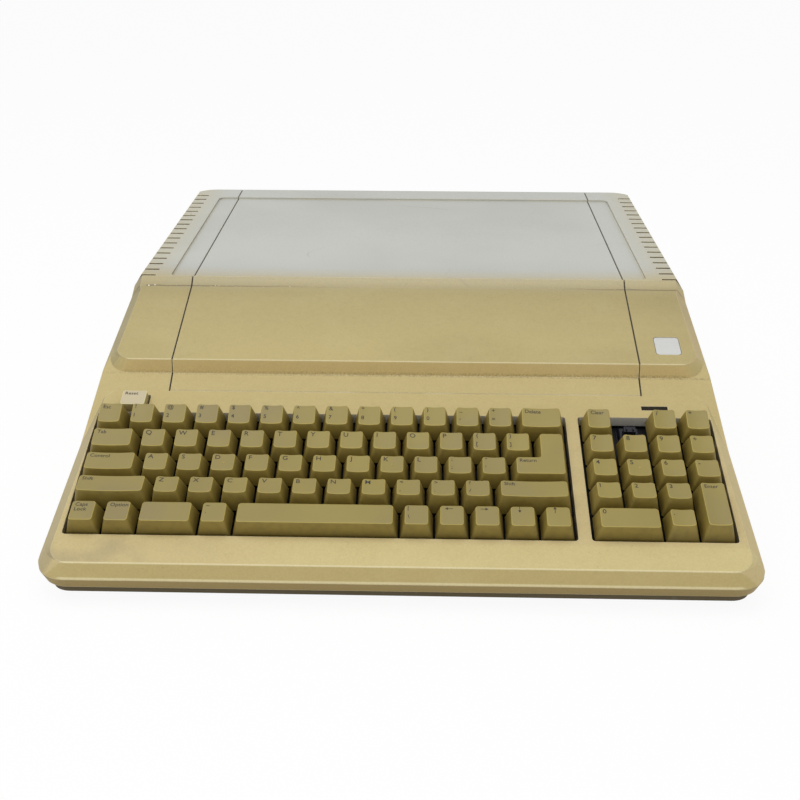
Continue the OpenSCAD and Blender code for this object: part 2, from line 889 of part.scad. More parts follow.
module power_inlet() {
    translate([inlet_x, 0, inlet_z]) {
        color("black") difference() {
            union() {
                translate([0, panel_in - 26, 0]) along_y(26 + sheet + eps)
                    square([inlet_w - 0.4, inlet_h - 0.4], center = true);
                translate([0, panel_y, 0]) along_y(2) square([inlet_w + 5, inlet_h + 4], center = true);
            }
            translate([0, panel_y - 15, 0]) along_y(18) polygon([
                [-12, 7.8], [12, 7.8], [12, -3], [7.5, -7.8], [-7.5, -7.8], [-12, -3]
            ]);
        }
        color("silver") for (p = [[-7, 0], [7, 0], [0, 4]])
            translate([p[0], panel_y - 15, p[1]]) along_y(12) square([2, 4], center = true);
    }
}

module switch_frame() {
    translate([switch_x, 0, inlet_z]) color("black") difference() {
        union() {
            translate([0, panel_in - 22, 0]) along_y(22 + sheet + eps)
                square([switch_w - 0.4, switch_h - 0.4], center = true);
            translate([0, panel_y, 0]) along_y(1.6) square([switch_w + 3.5, switch_h + 3.5], center = true);
        }
        translate([0, panel_in - 12, 0])
            along_y(30) square([rocker_w + 0.6, rocker_h + 1.6], center = true);
        translate([-rocker_w / 2 - 2, rocker_y, 0]) rotate([0, 90, 0]) cylinder(d = 3.1, h = rocker_w + 4);
    }
}

// Rocker that tips about a pin across the switch
module power_switch() {
    color("black") translate([switch_x, rocker_y, inlet_z]) {
        rotate([rocker_tip / 2, 0, 0]) across_x(rocker_w) polygon([
            [-5, -4], [-5, 4], [3, rocker_h / 2 - 0.6], [7.5, rocker_h / 2 - 0.6],
            [5.5, 0], [7.5, -rocker_h / 2 + 0.6], [3, -rocker_h / 2 + 0.6]
        ]);
        translate([-rocker_w / 2 - 1.6, 0, 0]) rotate([0, 90, 0]) cylinder(d = 3, h = rocker_w + 3.2);
    }
}

// ---- logic board and its parts ----

logic_x = logic_right - logic_w;
logic_y = panel_in - 1 - logic_d;
logic_z = plate_z + standoff_h;
logic_top = logic_z + board;
standoff_at = [
    for (x = [8, logic_w / 2, logic_w - 8], y = [10, logic_d / 2, logic_d - 14]) [logic_x + x, logic_y + y]
];

module logic_board() {
    color("darkgreen") difference() {
        block([logic_x, logic_y, logic_z], [logic_x + logic_w, logic_y + logic_d, logic_top]);
        for (p = standoff_at) translate([p.x, p.y, logic_z - 1]) cylinder(d = 3.4, h = board + 2);
    }
}

module board_standoffs() {
    color("white") for (p = standoff_at) translate([p.x, p.y, plate_z]) {
        cylinder(d = 8, h = standoff_h);
        cylinder(d = 3.2, h = standoff_h + board + 2.5);
    }
}

// Card-edge socket along Y with its slot open to the top
module edge_socket(l, h) {
    difference() {
        translate([-4, 0, 0]) cube([8, l, h]);
        translate([-0.9, 3, 3]) cube([1.8, l - 6, h]);
    }
}

module expansion_slots() {
    color("seagreen") for (i = [0 : slot_count - 1])
        translate([logic_x + 28 + i * slot_pitch, panel_in - 110, logic_top]) edge_socket(72, 14);
}

module auxiliary_slot() {
    color("seagreen") translate([logic_x + 34, logic_y + 50, logic_top]) edge_socket(90, 14);
}

// Sizes of the packages: length and width, then the body's height and what they share
processor = [52, 14];
memory = [36, 14];
small_chip = [20, 6.5];
chip_lift = 1;
chip_h = 3.6;
chip_notch_d = 2;
leg_t = 0.5;
leg_h = 3;

// Dual in-line package with its legs as two strips, along X
module chip(size) {
    l = size[0];
    w = size[1];
    difference() {
        translate([-l / 2, -w / 2, chip_lift]) cube([l, w, chip_h]);
        translate([-l / 2, 0, chip_h]) cylinder(d = chip_notch_d, h = 2);
    }
    for (s = [-1, 1])
        translate([-l / 2 + 1, s * (w / 2 + leg_t / 2) - leg_t / 2, 0]) cube([l - 2, leg_t, leg_h]);
}

// Row of like packages on the logic board
module chip_row(size, x, y, count, apart) {
    for (i = [0 : count - 1]) translate([logic_x + x + i * apart, logic_y + y, logic_top]) chip(size);
}

module logic_chips() {
    color("black") {
        // Processor and its large companions
        chip_row(processor, 75, 130, 3, 62);
        // Read-only memories
        chip_row(memory, 70, 100, 3, 48);
        // Memory row at the front
        chip_row(small_chip, 50, 22, 8, 24);
        // Logic rows
        for (y = [48, 70]) chip_row(small_chip, 60, y, 7, 26);
    }
}

module video_jack() {
    color("gold") translate([video_x, 0, jack_z]) difference() {
        union() {
            translate([0, panel_in - 12, 0])
                along_y(11) square([jack_body_w, 2 * (jack_z - logic_top)], center = true);
            translate([0, panel_in - 2, 0]) along_y(back_in + sheet - 1) circle(d = video_d);
        }
        translate([0, panel_y - 2, 0]) along_y(far) circle(d = 3.2);
    }
}

module cassette_jacks() {
    color("black") for (x = cassette_x) translate([x, 0, jack_z]) difference() {
        union() {
            translate([0, panel_in - 13, 0])
                along_y(12) square([jack_body_w, 2 * (jack_z - logic_top)], center = true);
            translate([0, panel_in - 2, 0]) along_y(sheet + 4) circle(d = jack_d);
        }
        translate([0, panel_y + 2 - jack_bore_l, 0]) along_y(far) circle(d = jack_bore_d);
    }
}

module joystick_socket() {
    color("silver") translate([stick_x, 0, jack_z + 2]) difference() {
        union() {
            translate([0, panel_in - 10, -1])
                along_y(9) square([stick_w + 6, 2 * (jack_z - logic_top) + 2], center = true);
            translate([0, panel_in - 1.5, 0]) along_y(sheet + 6) square([stick_w, stick_h], center = true);
        }
        for (i = [0 : 4]) translate([(i - 2) * pin_pitch, panel_y, pin_row / 2])
            along_y(far) circle(d = pin_d, $fn = 16);
        for (i = [0 : 3]) translate([(i - 1.5) * pin_pitch, panel_y, -pin_row / 2])
            along_y(far) circle(d = pin_d, $fn = 16);
    }
}

module speaker() {
    magnet_z = 14;
    color("dimgray") translate([speaker_x, speaker_y, plate_z]) rotate_extrude() polygon([
        [0, 2], [speaker_d / 2 - 4, 2], [speaker_d / 2 - 4, 0], [speaker_d / 2, 0], [speaker_d / 2, 3],
        [speaker_d / 2 - 3, 4], [14, magnet_z - 3], [14, magnet_z + 6], [0, magnet_z + 6]
    ]);
}

// ---- cables held inside the case ----

// Ring of points round a point of a route
function ring(p, dir, r, n) =
    let (u = unit(cross(dir, [0.1, 0.2, 1])), v = cross(dir, u))
    [for (i = [0 : n - 1]) p + r * (cos(360 * i / n) * u + sin(360 * i / n) * v)];

// Round cable swept along a route
module cable(route, d) {
    n = 8;
    count = len(route);
    rings = [
        for (i = [0 : count - 1])
            ring(route[i], unit(route[min(i + 1, count - 1)] - route[max(i - 1, 0)]), d / 2, n)
    ];
    polyhedron(
        points = [for (r = rings, p = r) p],
        faces = concat(
            [[for (i = [0 : n - 1]) i]],
            [
                for (k = [0 : count - 2], i = [0 : n - 1])
                    let (j = (i + 1) % n)
                    [k * n + i, (k + 1) * n + i, (k + 1) * n + j, k * n + j]
            ],
            [[for (i = [n - 1 : -1 : 0]) (count - 1) * n + i]]
        )
    );
}

module power_cable() {
    color("black") cable(power_route, 6);
    color("white") block([-72, -48, logic_top], [-50, -40, logic_top + 12]);
}

module speaker_cable() {
    color("firebrick") cable(speaker_route, 2.4);
}

// Outline of a strip of even thickness along a route in a plane
function strip(route, t) =
    let (
        n = len(route),
        side = [
            for (i = [0 : n - 1])
                inward(unit(route[min(i + 1, n - 1)] - route[max(i - 1, 0)])) * t / 2
        ]
    )
    concat([for (i = [0 : n - 1]) route[i] + side[i]], [for (i = [n - 1 : -1 : 0]) route[i] - side[i]]);

module keyboard_cable() {
    end = ribbon_route[len(ribbon_route) - 1];
    color("lightgray") translate([ribbon_x, 0, 0]) across_x(ribbon_w) polygon(strip(ribbon_route, 1));
    color("dimgray") block([ribbon_x - plug_w / 2, end[0] - plug_d / 2, logic_top],
        [ribbon_x + plug_w / 2, end[0] + plug_d / 2, end[1]]);
}

// ---- the keyboard ----

function key_x(row, i) = keys_x + (sum_to(row_widths[row], i) + row_widths[row][i] / 2) * pitch;
function row_v(row) = keys_v + (row + 0.5) * pitch;
function pad_x(col) = keypad_x + (col + 0.5) * pitch;

// Middles of all the switches
switch_at = [
    for (row = [0 : row_count - 1], i = [0 : len(row_widths[row]) - 1]) [key_x(row, i), row_v(row)],
    for (row = [2 : row_count - 1], col = [0 : pad_units - 1]) [pad_x(col), row_v(row)],
    for (col = [0 : 2]) [pad_x(col), row_v(1)],
    [pad_x(0.5), row_v(0)],
    [pad_x(2), row_v(0)],
    [pad_x(3), row_v(0.5)],
    [reset_x, reset_v]
];

module keyboard_plate() {
    color("silver") on_deck() translate([0, 0, -plate_drop]) {
        difference() {
            block([-plate_half, plate_front, -sheet], [plate_half, plate_back, 0]);
            for (p = switch_at)
                translate([p.x, p.y, 0]) cube([housing_w - 0.4, housing_d - 0.4, 4 * sheet], center = true);
            for (p = keyboard_boss_at)
                translate([p.x, p.y, -2 * sheet])
                    cylinder(d = small_screw_d + screw_clearance, h = 3 * sheet);
        }
        // Hooks that hold the space bar's wire
        for (s = [-1, 1]) translate([key_x(0, 4) + s * 20, row_v(0) - wire_back, 0]) difference() {
            block([-1.5, -1.4, -eps], [1.5, 1.4, wire_z + wire_d + 0.5]);
            translate([-2, 0, wire_z]) rotate([0, 90, 0]) cylinder(d = wire_d + 0.1, h = 4);
        }
    }
}

module keyboard_screws() {
    color("silver") on_deck() for (p = keyboard_boss_at)
        translate([p.x, p.y, -plate_drop - sheet]) screw(small_screw_d, 6);
}

module key_switches() {
    top = housing_top - plate_drop;
    foot = -plate_drop - sheet - housing_drop;
    color("dimgray") on_deck() for (p = switch_at) translate([p.x, p.y, 0]) difference() {
        union() {
            block([-housing_w / 2, -housing_d / 2, -plate_drop], [housing_w / 2, housing_d / 2, top]);
            block([-housing_w / 2 + 0.2, -housing_d / 2 + 0.2, foot],
                [housing_w / 2 - 0.2, housing_d / 2 - 0.2, -plate_drop + eps]);
        }
        block([-stem_w / 2 - stem_gap, -stem_d / 2 - stem_gap, plunger_foot - key_travel - stem_spare],
            [stem_w / 2 + stem_gap, stem_d / 2 + stem_gap, far]);
    }
}

module keyboard_board() {
    top = -plate_drop - sheet - housing_drop;
    color("peru") on_deck()
        block([-plate_half + 2, keys_v, top - board], [plate_half - 2, plate_back - 1, top]);
}

// Outer form of a keycap, or its inside where t is the wall.
// w and d are the skirt's width and depth, top the height over its middle.
module cap_form(w, d, top, tilt, t) {
    drop = t > 0 ? 3 * t : 0;
    rise = top + skirt_drop;
    lean = key_taper / rise;
    front = key_front / rise;
    back = key_back / rise;
    a = top - d / 2 * tan(tilt);
    b = top + d / 2 * tan(tilt);
    low = -skirt_drop - drop;
    intersection() {
        translate([0, -far / 4, 0]) along_y(far / 2) polygon(inset([
            [-w / 2 - drop * lean, low], [-w / 2 + 2 * key_taper, 2 * rise - skirt_drop],
            [w / 2 - 2 * key_taper, 2 * rise - skirt_drop], [w / 2 + drop * lean, low]
        ], t));
        across_x(far) polygon(inset([
            [-d / 2 - drop * front, low], [-d / 2 + front * (a + skirt_drop), a],
            [d / 2 - back * (b + skirt_drop), b], [d / 2 + drop * back, low]
        ], t));
    }
}

// Channel across a key's top
module dish(w, d, top, tilt) {
    half = w / 2 - key_taper;
    r = (half * half + key_dish * key_dish) / (2 * key_dish);
    translate([0, 0, top]) rotate([tilt, 0, 0]) translate([0, -d, r - key_dish])
        along_y(2 * d) circle(r, $fn = 360);
}

// Plunger of a switch with the slot that holds the cap's post
module plunger() {
    difference() {
        block([-stem_w / 2, -stem_d / 2, plunger_foot], [stem_w / 2, stem_d / 2, plunger_top]);
        block([-stem_w / 2 + 1.2, -post_d / 2, plunger_top - 3], [stem_w / 2 - 1.2, post_d / 2, far]);
    }
}

// Post under a cap
module post(top) {
    block([-stem_w / 2 + 1.2, -post_d / 2, plunger_top - 3], [stem_w / 2 - 1.2, post_d / 2, top]);
}

module key(w, d, top, tilt, dished) {
    difference() {
        cap_form(w, d, top, tilt, 0);
        if (dished) dish(w, d, top, tilt);
        difference() {
            cap_form(w, d, top - (dished ? key_dish : 0), tilt, key_wall);
            post(far);
        }
    }
    plunger();
}

module main_key(row, i) {
    translate([key_x(row, i), row_v(row), 0])
        key(row_widths[row][i] * pitch - key_gap, skirt, row_top[row], row_tilt[row], row > 0);
}

module main_keys(row, first, last) {
    color("darkkhaki") on_deck() for (i = [first : last]) main_key(row, i);
}

module pad_key(col, row) {
    translate([pad_x(col), row_v(row), 0]) key(skirt, skirt, row_top[row], row_tilt[row], row > 0);
}

module esc_key() main_keys(4, 0, 0);
module number_keys() main_keys(4, 1, 12);
module delete_key() main_keys(4, 13, 13);
module tab_key() main_keys(3, 0, 0);
module upper_letter_keys() main_keys(3, 1, 12);
module control_key() main_keys(2, 0, 0);
module home_letter_keys() main_keys(2, 1, 11);
module left_shift_key() main_keys(1, 0, 0);
module lower_letter_keys() main_keys(1, 1, 10);
module right_shift_key() main_keys(1, 11, 11);
module caps_lock_key() main_keys(0, 0, 0);
module option_key() main_keys(0, 1, 1);
module command_key() main_keys(0, 2, 2);
module tilde_key() main_keys(0, 3, 3);
module backslash_key() main_keys(0, 5, 5);
module left_arrow_key() main_keys(0, 6, 6);
module right_arrow_key() main_keys(0, 7, 7);
module down_arrow_key() main_keys(0, 8, 8);
module up_arrow_key() main_keys(0, 9, 9);

// Key over two rows: a wide lower part and a narrow upper one
module return_key() {
    top = row_top[2];
    low_w = row_widths[2][12] * pitch - key_gap;
    dx = (row_widths[2][12] - 1) / 2 * pitch;
    color("darkkhaki") on_deck() translate([key_x(2, 12), row_v(2), 0]) {
        difference() {
            union() {
                cap_form(low_w, skirt, top, 0, 0);
                translate([dx, pitch / 2, 0]) cap_form(skirt, skirt + pitch, top, 0, 0);
            }
            difference() {
                union() {
                    cap_form(low_w, skirt, top, 0, key_wall);
                    translate([dx, pitch / 2, 0]) cap_form(skirt, skirt + pitch, top, 0, key_wall);
                }
                post(far);
            }
        }
        plunger();
    }
}

// Bar with two eyes inside that ride on its wire
module space_bar() {
    color("darkkhaki") {
        main_keys(0, 4, 4);
        on_deck() translate([key_x(0, 4), row_v(0), 0]) for (s = [-1, 1]) difference() {
            block([s * wire_eye_x - 1, wire_tip_v - 2.2, -3.8],
                [s * wire_eye_x + 1, wire_tip_v + 3.2, row_top[0] - key_wall + 0.2]);
            block([s * wire_eye_x - 2, wire_tip_v - 0.9, wire_tip_z - 0.8],
                [s * wire_eye_x + 2, wire_tip_v + 2, wire_tip_z + 0.8]);
        }
    }
}

// Wire that keeps the space bar level: a long bar, two arms and the tips that the bar rides on
module space_bar_wire() {
    arm_x = wire_eye_x + 3.5;
    arm_d = wire_d - 0.1;
    base = [-wire_back, -plate_drop + wire_z];
    tip = [wire_tip_v, wire_tip_z];
    angle = atan2(tip[1] - base[1], tip[0] - base[0]);
    color("silver") on_deck() translate([key_x(0, 4), row_v(0), 0]) {
        translate([-arm_x - wire_d, base[0], base[1]]) rotate([0, 90, 0])
            cylinder(d = wire_d, h = 2 * (arm_x + wire_d));
        both_sides() {
            translate([arm_x, base[0], base[1]]) rotate([angle - 90, 0, 0])
                cylinder(d = arm_d, h = norm(tip - base) + 0.2);
            translate([arm_x - 5, tip[0], tip[1]]) rotate([0, 90, 0]) cylinder(d = wire_d, h = 5 + wire_d);
        }
    }
}

module clear_key() {
    color("darkkhaki") on_deck() pad_key(0, 4);
}

module keypad_number_keys() {
    color("darkkhaki") on_deck() {
        for (row = [1 : 3], col = [0 : 2]) pad_key(col, row);
        pad_key(2, 0);
    }
}

module keypad_sign_keys() {
    color("darkkhaki") on_deck() {
        pad_key(2, 4);
        for (row = [2 : 4]) pad_key(3, row);
    }
}

module zero_key() {
    color("darkkhaki") on_deck() translate([pad_x(0.5), row_v(0), 0])
        key(2 * pitch - key_gap, skirt, row_top[0], row_tilt[0], false);
}

module enter_key() {
    color("darkkhaki") on_deck() translate([pad_x(3), row_v(0.5), 0])
        key(skirt, skirt + pitch, (row_top[0] + row_top[1]) / 2, 0, false);
}

module reset_key() {
    color("beige") on_deck() translate([reset_x, reset_v, 0])
        key(reset_w, reset_d, reset_top, 0, false);
}

upper_case();
lid();
base_plate();
rear_panel();
port_plugs();
feet();
case_screws();
lid_catches();
badge_plate();
lamp_window();
keyboard_plate();
keyboard_screws();
key_switches();
keyboard_board();
keyboard_cable();
space_bar_wire();
logic_board();
board_standoffs();
expansion_slots();
auxiliary_slot();
logic_chips();
power_supply();
supply_board();
power_inlet();
switch_frame();
power_switch();
power_cable();
speaker();
speaker_cable();
video_jack();
cassette_jacks();
joystick_socket();
esc_key();
number_keys();
delete_key();
tab_key();
upper_letter_keys();
control_key();
home_letter_keys();
return_key();
left_shift_key();
lower_letter_keys();
right_shift_key();
caps_lock_key();
option_key();
command_key();
tilde_key();
space_bar();
backslash_key();
left_arrow_key();
right_arrow_key();
down_arrow_key();
up_arrow_key();
clear_key();
keypad_number_keys();
keypad_sign_keys();
zero_key();
enter_key();
reset_key();
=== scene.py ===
"""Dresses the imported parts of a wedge-shaped home computer: keycaps, case, boards and stage."""
import math

import bmesh
import bpy
from bpy.props import FloatProperty, FloatVectorProperty, IntProperty, PointerProperty
from mathutils import Matrix, Vector


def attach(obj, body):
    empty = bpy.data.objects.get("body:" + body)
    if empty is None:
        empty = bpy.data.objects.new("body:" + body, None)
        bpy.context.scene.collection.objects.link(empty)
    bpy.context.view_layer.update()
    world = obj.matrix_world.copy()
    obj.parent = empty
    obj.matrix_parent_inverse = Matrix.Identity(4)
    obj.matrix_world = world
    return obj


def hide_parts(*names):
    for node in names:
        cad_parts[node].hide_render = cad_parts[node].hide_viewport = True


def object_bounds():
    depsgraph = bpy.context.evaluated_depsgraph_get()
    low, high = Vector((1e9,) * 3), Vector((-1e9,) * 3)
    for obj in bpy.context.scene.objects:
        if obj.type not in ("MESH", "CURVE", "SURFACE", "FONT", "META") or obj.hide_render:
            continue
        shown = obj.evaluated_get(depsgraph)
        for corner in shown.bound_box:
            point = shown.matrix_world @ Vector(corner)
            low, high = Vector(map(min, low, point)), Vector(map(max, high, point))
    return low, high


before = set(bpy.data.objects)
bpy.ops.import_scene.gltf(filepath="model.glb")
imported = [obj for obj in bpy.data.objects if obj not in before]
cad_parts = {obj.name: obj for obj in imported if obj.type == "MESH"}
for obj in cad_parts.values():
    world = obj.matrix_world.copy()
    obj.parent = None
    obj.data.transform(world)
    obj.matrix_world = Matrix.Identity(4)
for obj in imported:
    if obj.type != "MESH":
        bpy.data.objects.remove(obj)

bl_info = {
    "name": "Home Computer",
    "version": (1, 0, 0),
    "blender": (4, 5, 0),
    "location": "View3D > Sidebar > Home Computer",
    "description": "Keycaps, case, boards and stage of a wedge-shaped home computer",
    "category": "Object",
}

MM = 0.001
CAD_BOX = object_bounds()
TOP_Z = CAD_BOX[1][2]
HALF_WIDTH = CAD_BOX[1][0]

# The keyboard deck: its slope and its front crease
DECK_TILT = math.radians(19)
DECK_FRONT_Y, DECK_FRONT_Z = -0.22447, 0.024262


def deck_to_world(point=(0, 0, 0)):
    """Place of a point of the keyboard deck: x right, y up the slope, z off it, in millimetres."""
    return (
        Matrix.Translation((0, DECK_FRONT_Y, DECK_FRONT_Z))
        @ Matrix.Rotation(DECK_TILT, 4, "X")
        @ Matrix.Scale(MM, 4)
        @ Matrix.Translation(point)
    )


def scaled(colour, by):
    """A colour made darker or lighter, held under white."""
    return [min(1, c * by) for c in colour]


# ---- sizes and colours a user may change ----


class CaseSettings(bpy.types.PropertyGroup):
    shell: FloatVectorProperty(
        name="Shell", description="Yellowed plastic of the case", subtype="COLOR",
        min=0, max=1, default=(0.585, 0.467, 0.217),
    )
    top: FloatVectorProperty(
        name="Top", description="Plastic of the top, which has kept its pale grey", subtype="COLOR",
        min=0, max=1, default=(0.508, 0.521, 0.488),
    )
    # Also the colour of the painted shade in the case's corners
    grime_and_shade: FloatVectorProperty(
        name="Grime", description="Dirt in the case's corners", subtype="COLOR",
        min=0, max=1, default=(0.13, 0.095, 0.045),
    )
    edge: FloatProperty(
        name="Edge", description="Radius of the moulded edges", unit="LENGTH",
        min=0.0002, max=0.002, default=0.0009,
    )


class KeySettings(bpy.types.PropertyGroup):
    pitch: FloatProperty(
        name="Pitch", description="Distance between key centres in millimetres",
        min=18, max=20, default=19.05,
    )
    corner: FloatProperty(
        name="Corner", description="Radius of a key top's corners in millimetres",
        min=0.5, max=3, default=1.8,
    )
    roll: FloatProperty(
        name="Roll", description="Radius of a key top's edge in millimetres",
        min=0.1, max=1, default=0.5,
    )
    letter: FloatProperty(
        name="Letter", description="Height of a single letter in millimetres",
        min=2, max=4, default=3,
    )
    word: FloatProperty(
        name="Word", description="Height of a word's capitals in millimetres",
        min=1.5, max=3, default=2.4,
    )
    plastic: FloatVectorProperty(
        name="Plastic", description="Plastic of the keycaps", subtype="COLOR",
        min=0, max=1, default=(0.281, 0.219, 0.047),
    )
    reset: FloatVectorProperty(
        name="Reset", description="Plastic of the reset key", subtype="COLOR",
        min=0, max=1, default=(0.562, 0.486, 0.262),
    )
    ink: FloatVectorProperty(
        name="Ink", description="Colour of the legends", subtype="COLOR",
        min=0, max=1, default=(0.02, 0.016, 0.01),
    )


class InsideSettings(bpy.types.PropertyGroup):
    board: FloatVectorProperty(
        name="Board", description="Solder mask of the logic board", subtype="COLOR",
        min=0, max=1, default=(0.02, 0.12, 0.045),
    )
    screw: FloatProperty(
        name="Screw", description="Diameter of the screw heads in millimetres",
        min=5, max=8, default=7,
    )
    seed: IntProperty(name="Seed", description="Seed for the turn of each screw", min=0, default=7)


class StageSettings(bpy.types.PropertyGroup):
    softbox: FloatProperty(
        name="Softbox", description="Power of the lamp over the computer", unit="POWER",
        min=0, default=10.5,
    )
    fill: FloatProperty(
        name="Fill", description="Strength of the light from all round", min=0, default=0.55,
    )
    lens: FloatProperty(
        name="Lens", description="Focal length of the camera", unit="CAMERA", min=20, default=54.2,
    )


class ComputerSettings(bpy.types.PropertyGroup):
    case: PointerProperty(type=CaseSettings)
    keys: PointerProperty(type=KeySettings)
    inside: PointerProperty(type=InsideSettings)
    stage: PointerProperty(type=StageSettings)


# ---- materials ----


class Value:
    """A socket of a material's nodes. Sums written with it add Math nodes."""

    def __init__(self, finish, socket):
        self.finish = finish
        self.socket = socket

    def math(self, operation, *values):
        return self.finish.node("ShaderNodeMath", {"operation": operation}, dict(enumerate(values)))

    def __add__(self, other):
        return self.math("ADD", self, other)

    __radd__ = __add__

    def __sub__(self, other):
        return self.math("SUBTRACT", self, other)

    def __rsub__(self, other):
        return self.math("SUBTRACT", other, self)

    def __mul__(self, other):
        return self.math("MULTIPLY", self, other)

    __rmul__ = __mul__

    def __truediv__(self, other):
        return self.math("DIVIDE", self, other)

    def __abs__(self):
        return self.math("ABSOLUTE", self)

    def part(self):
        """What is left of the value over a whole number."""
        return self.math("FRACT", self)


class Finish:
    """One material, with its Principled shader, and the nodes that drive it."""

    def __init__(self, name, colour=(0.5, 0.5, 0.5), roughness=0.5, metallic=0.0):
        self.material = bpy.data.materials.new(name)
        self.material.use_nodes = True
        self.nodes = self.material.node_tree.nodes
        self.links = self.material.node_tree.links
        self.shader = self.nodes["Principled BSDF"]
        self.set(**{"Base Color": (*colour, 1), "Roughness": roughness, "Metallic": metallic})
        place = self.nodes.new("ShaderNodeTexCoord")
        self.place = Value(self, place.outputs["Object"])
        self.facing = Value(self, place.outputs["Normal"])

    def fill(self, socket, value):
        """Link a value to a socket, or set it where it's a number or a colour."""
        if isinstance(value, Value):
            self.links.new(value.socket, socket)
        else:
            socket.default_value = value

    def set(self, **sockets):
        """Fill sockets of the shader by name."""
        for name, value in sockets.items():
            self.fill(self.shader.inputs[name], value)

    def node(self, kind, settings=None, sockets=None, out=0):
        """A node of a kind: its settings first, then its sockets by name or number."""
        made = self.nodes.new(kind)
        for name, value in (settings or {}).items():
            setattr(made, name, value)
        for name, value in (sockets or {}).items():
            self.fill(made.inputs[name], value)
        outputs = [s for s in made.outputs if s.enabled]
        return Value(self, outputs[out])

    def split(self, vector):
        """The three parts of a vector."""
        axes = self.node("ShaderNodeSeparateXYZ", sockets={0: vector})
        return [Value(self, s) for s in axes.socket.node.outputs]

    def noise(self, scale, detail=2.0, stretch=(1, 1, 1)):
        """Cloudy pattern in the piece's own place, finer with a larger scale."""
        at = self.node("ShaderNodeMapping", sockets={"Vector": self.place, "Scale": stretch})
        return self.node("ShaderNodeTexNoise", sockets={"Vector": at, "Scale": scale, "Detail": detail})

    def step(self, value, low, high):
        """0 below low, 1 above high and smooth between them, also where high is the lower one."""
        return self.node(
            "ShaderNodeMapRange", {"interpolation_type": "SMOOTHSTEP"},
            {"Value": value, "From Min": low, "From Max": high},
        )

    def near(self, value, middle, outer, inner):
        """1 within inner of a middle, fading to 0 at outer from it."""
        return self.step(abs(value - middle), outer, inner)

    def mix(self, share, a, b):
        """Colour a, going over to colour b by a share."""
        def colour(c):
            return c if isinstance(c, Value) else (*c, 1)
        return self.node("ShaderNodeMix", {"data_type": "RGBA"}, {0: share, 6: colour(a), 7: colour(b)})

    def tint(self, share, colour, by):
        """A colour multiplied by another, by a share."""
        return self.node(
            "ShaderNodeMix", {"data_type": "RGBA", "blend_type": "MULTIPLY"},
            {0: share, 6: colour, 7: (*by, 1)},
        )

    def bump(self, height, distance, strength=1.0, normal=None):
        """Normals over a pattern of heights, the highest a distance in metres over the lowest."""
        sockets = {"Height": height, "Distance": distance, "Strength": strength}
        if normal:
            sockets["Normal"] = normal
        return self.node("ShaderNodeBump", sockets=sockets)

    def soft_edges(self, radius):
        """Normals that turn smoothly over the edges, and a mask of where they do."""
        rounded = self.node("ShaderNodeBevel", {"samples": 6}, {"Radius": radius})
        flat = self.node("ShaderNodeNewGeometry", out=1)
        along = self.node("ShaderNodeVectorMath", {"operation": "DOT_PRODUCT"}, {0: rounded, 1: flat})
        return rounded, self.step(along, 0.995, 0.9)


# Lines across the case, in metres, that the plastic's wear and dirt follow, and its painted highlights and
# painted shade
NOSE_EDGE_Y, NOSE_EDGE_Z = -0.2274, 0.0167
PALM_BACK_Y = -0.2085
WELL_BACK_Y = -0.1152
LID_FRONT_Y = -0.0965
STEP_FOOT_Y, STEP_FOOT_Z = -0.0846, 0.0745
STEP_RISER_Y = -0.0838
STEP_CREST_Y, STEP_CREST_Z = -0.0829, 0.0834
BROW_Y = -0.0077
VENT_END_Y = 0.2175
SEAM_X = HALF_WIDTH - 0.05125
VENT_X = HALF_WIDTH - 0.0275

# Colours that the shell's plastic goes over to: its own tones, and painted highlights and painted shade
STRAW = (0.66, 0.55, 0.30)
UNYELLOWED = (0.50, 0.46, 0.35), (0.58, 0.54, 0.42)
WORN_AND_LIT_EDGE = (0.80, 0.70, 0.44)
CREST_HIGHLIGHT = (0.84, 0.75, 0.46)
CHIPPED = (0.86, 0.84, 0.76)
WELL_PALE = (0.85, 0.83, 0.74)
SCUFFED = (0.25, 0.24, 0.2)
VENT_SHADE = (0.12, 0.09, 0.05)
SEAM_SHADE = (0.03, 0.022, 0.012)


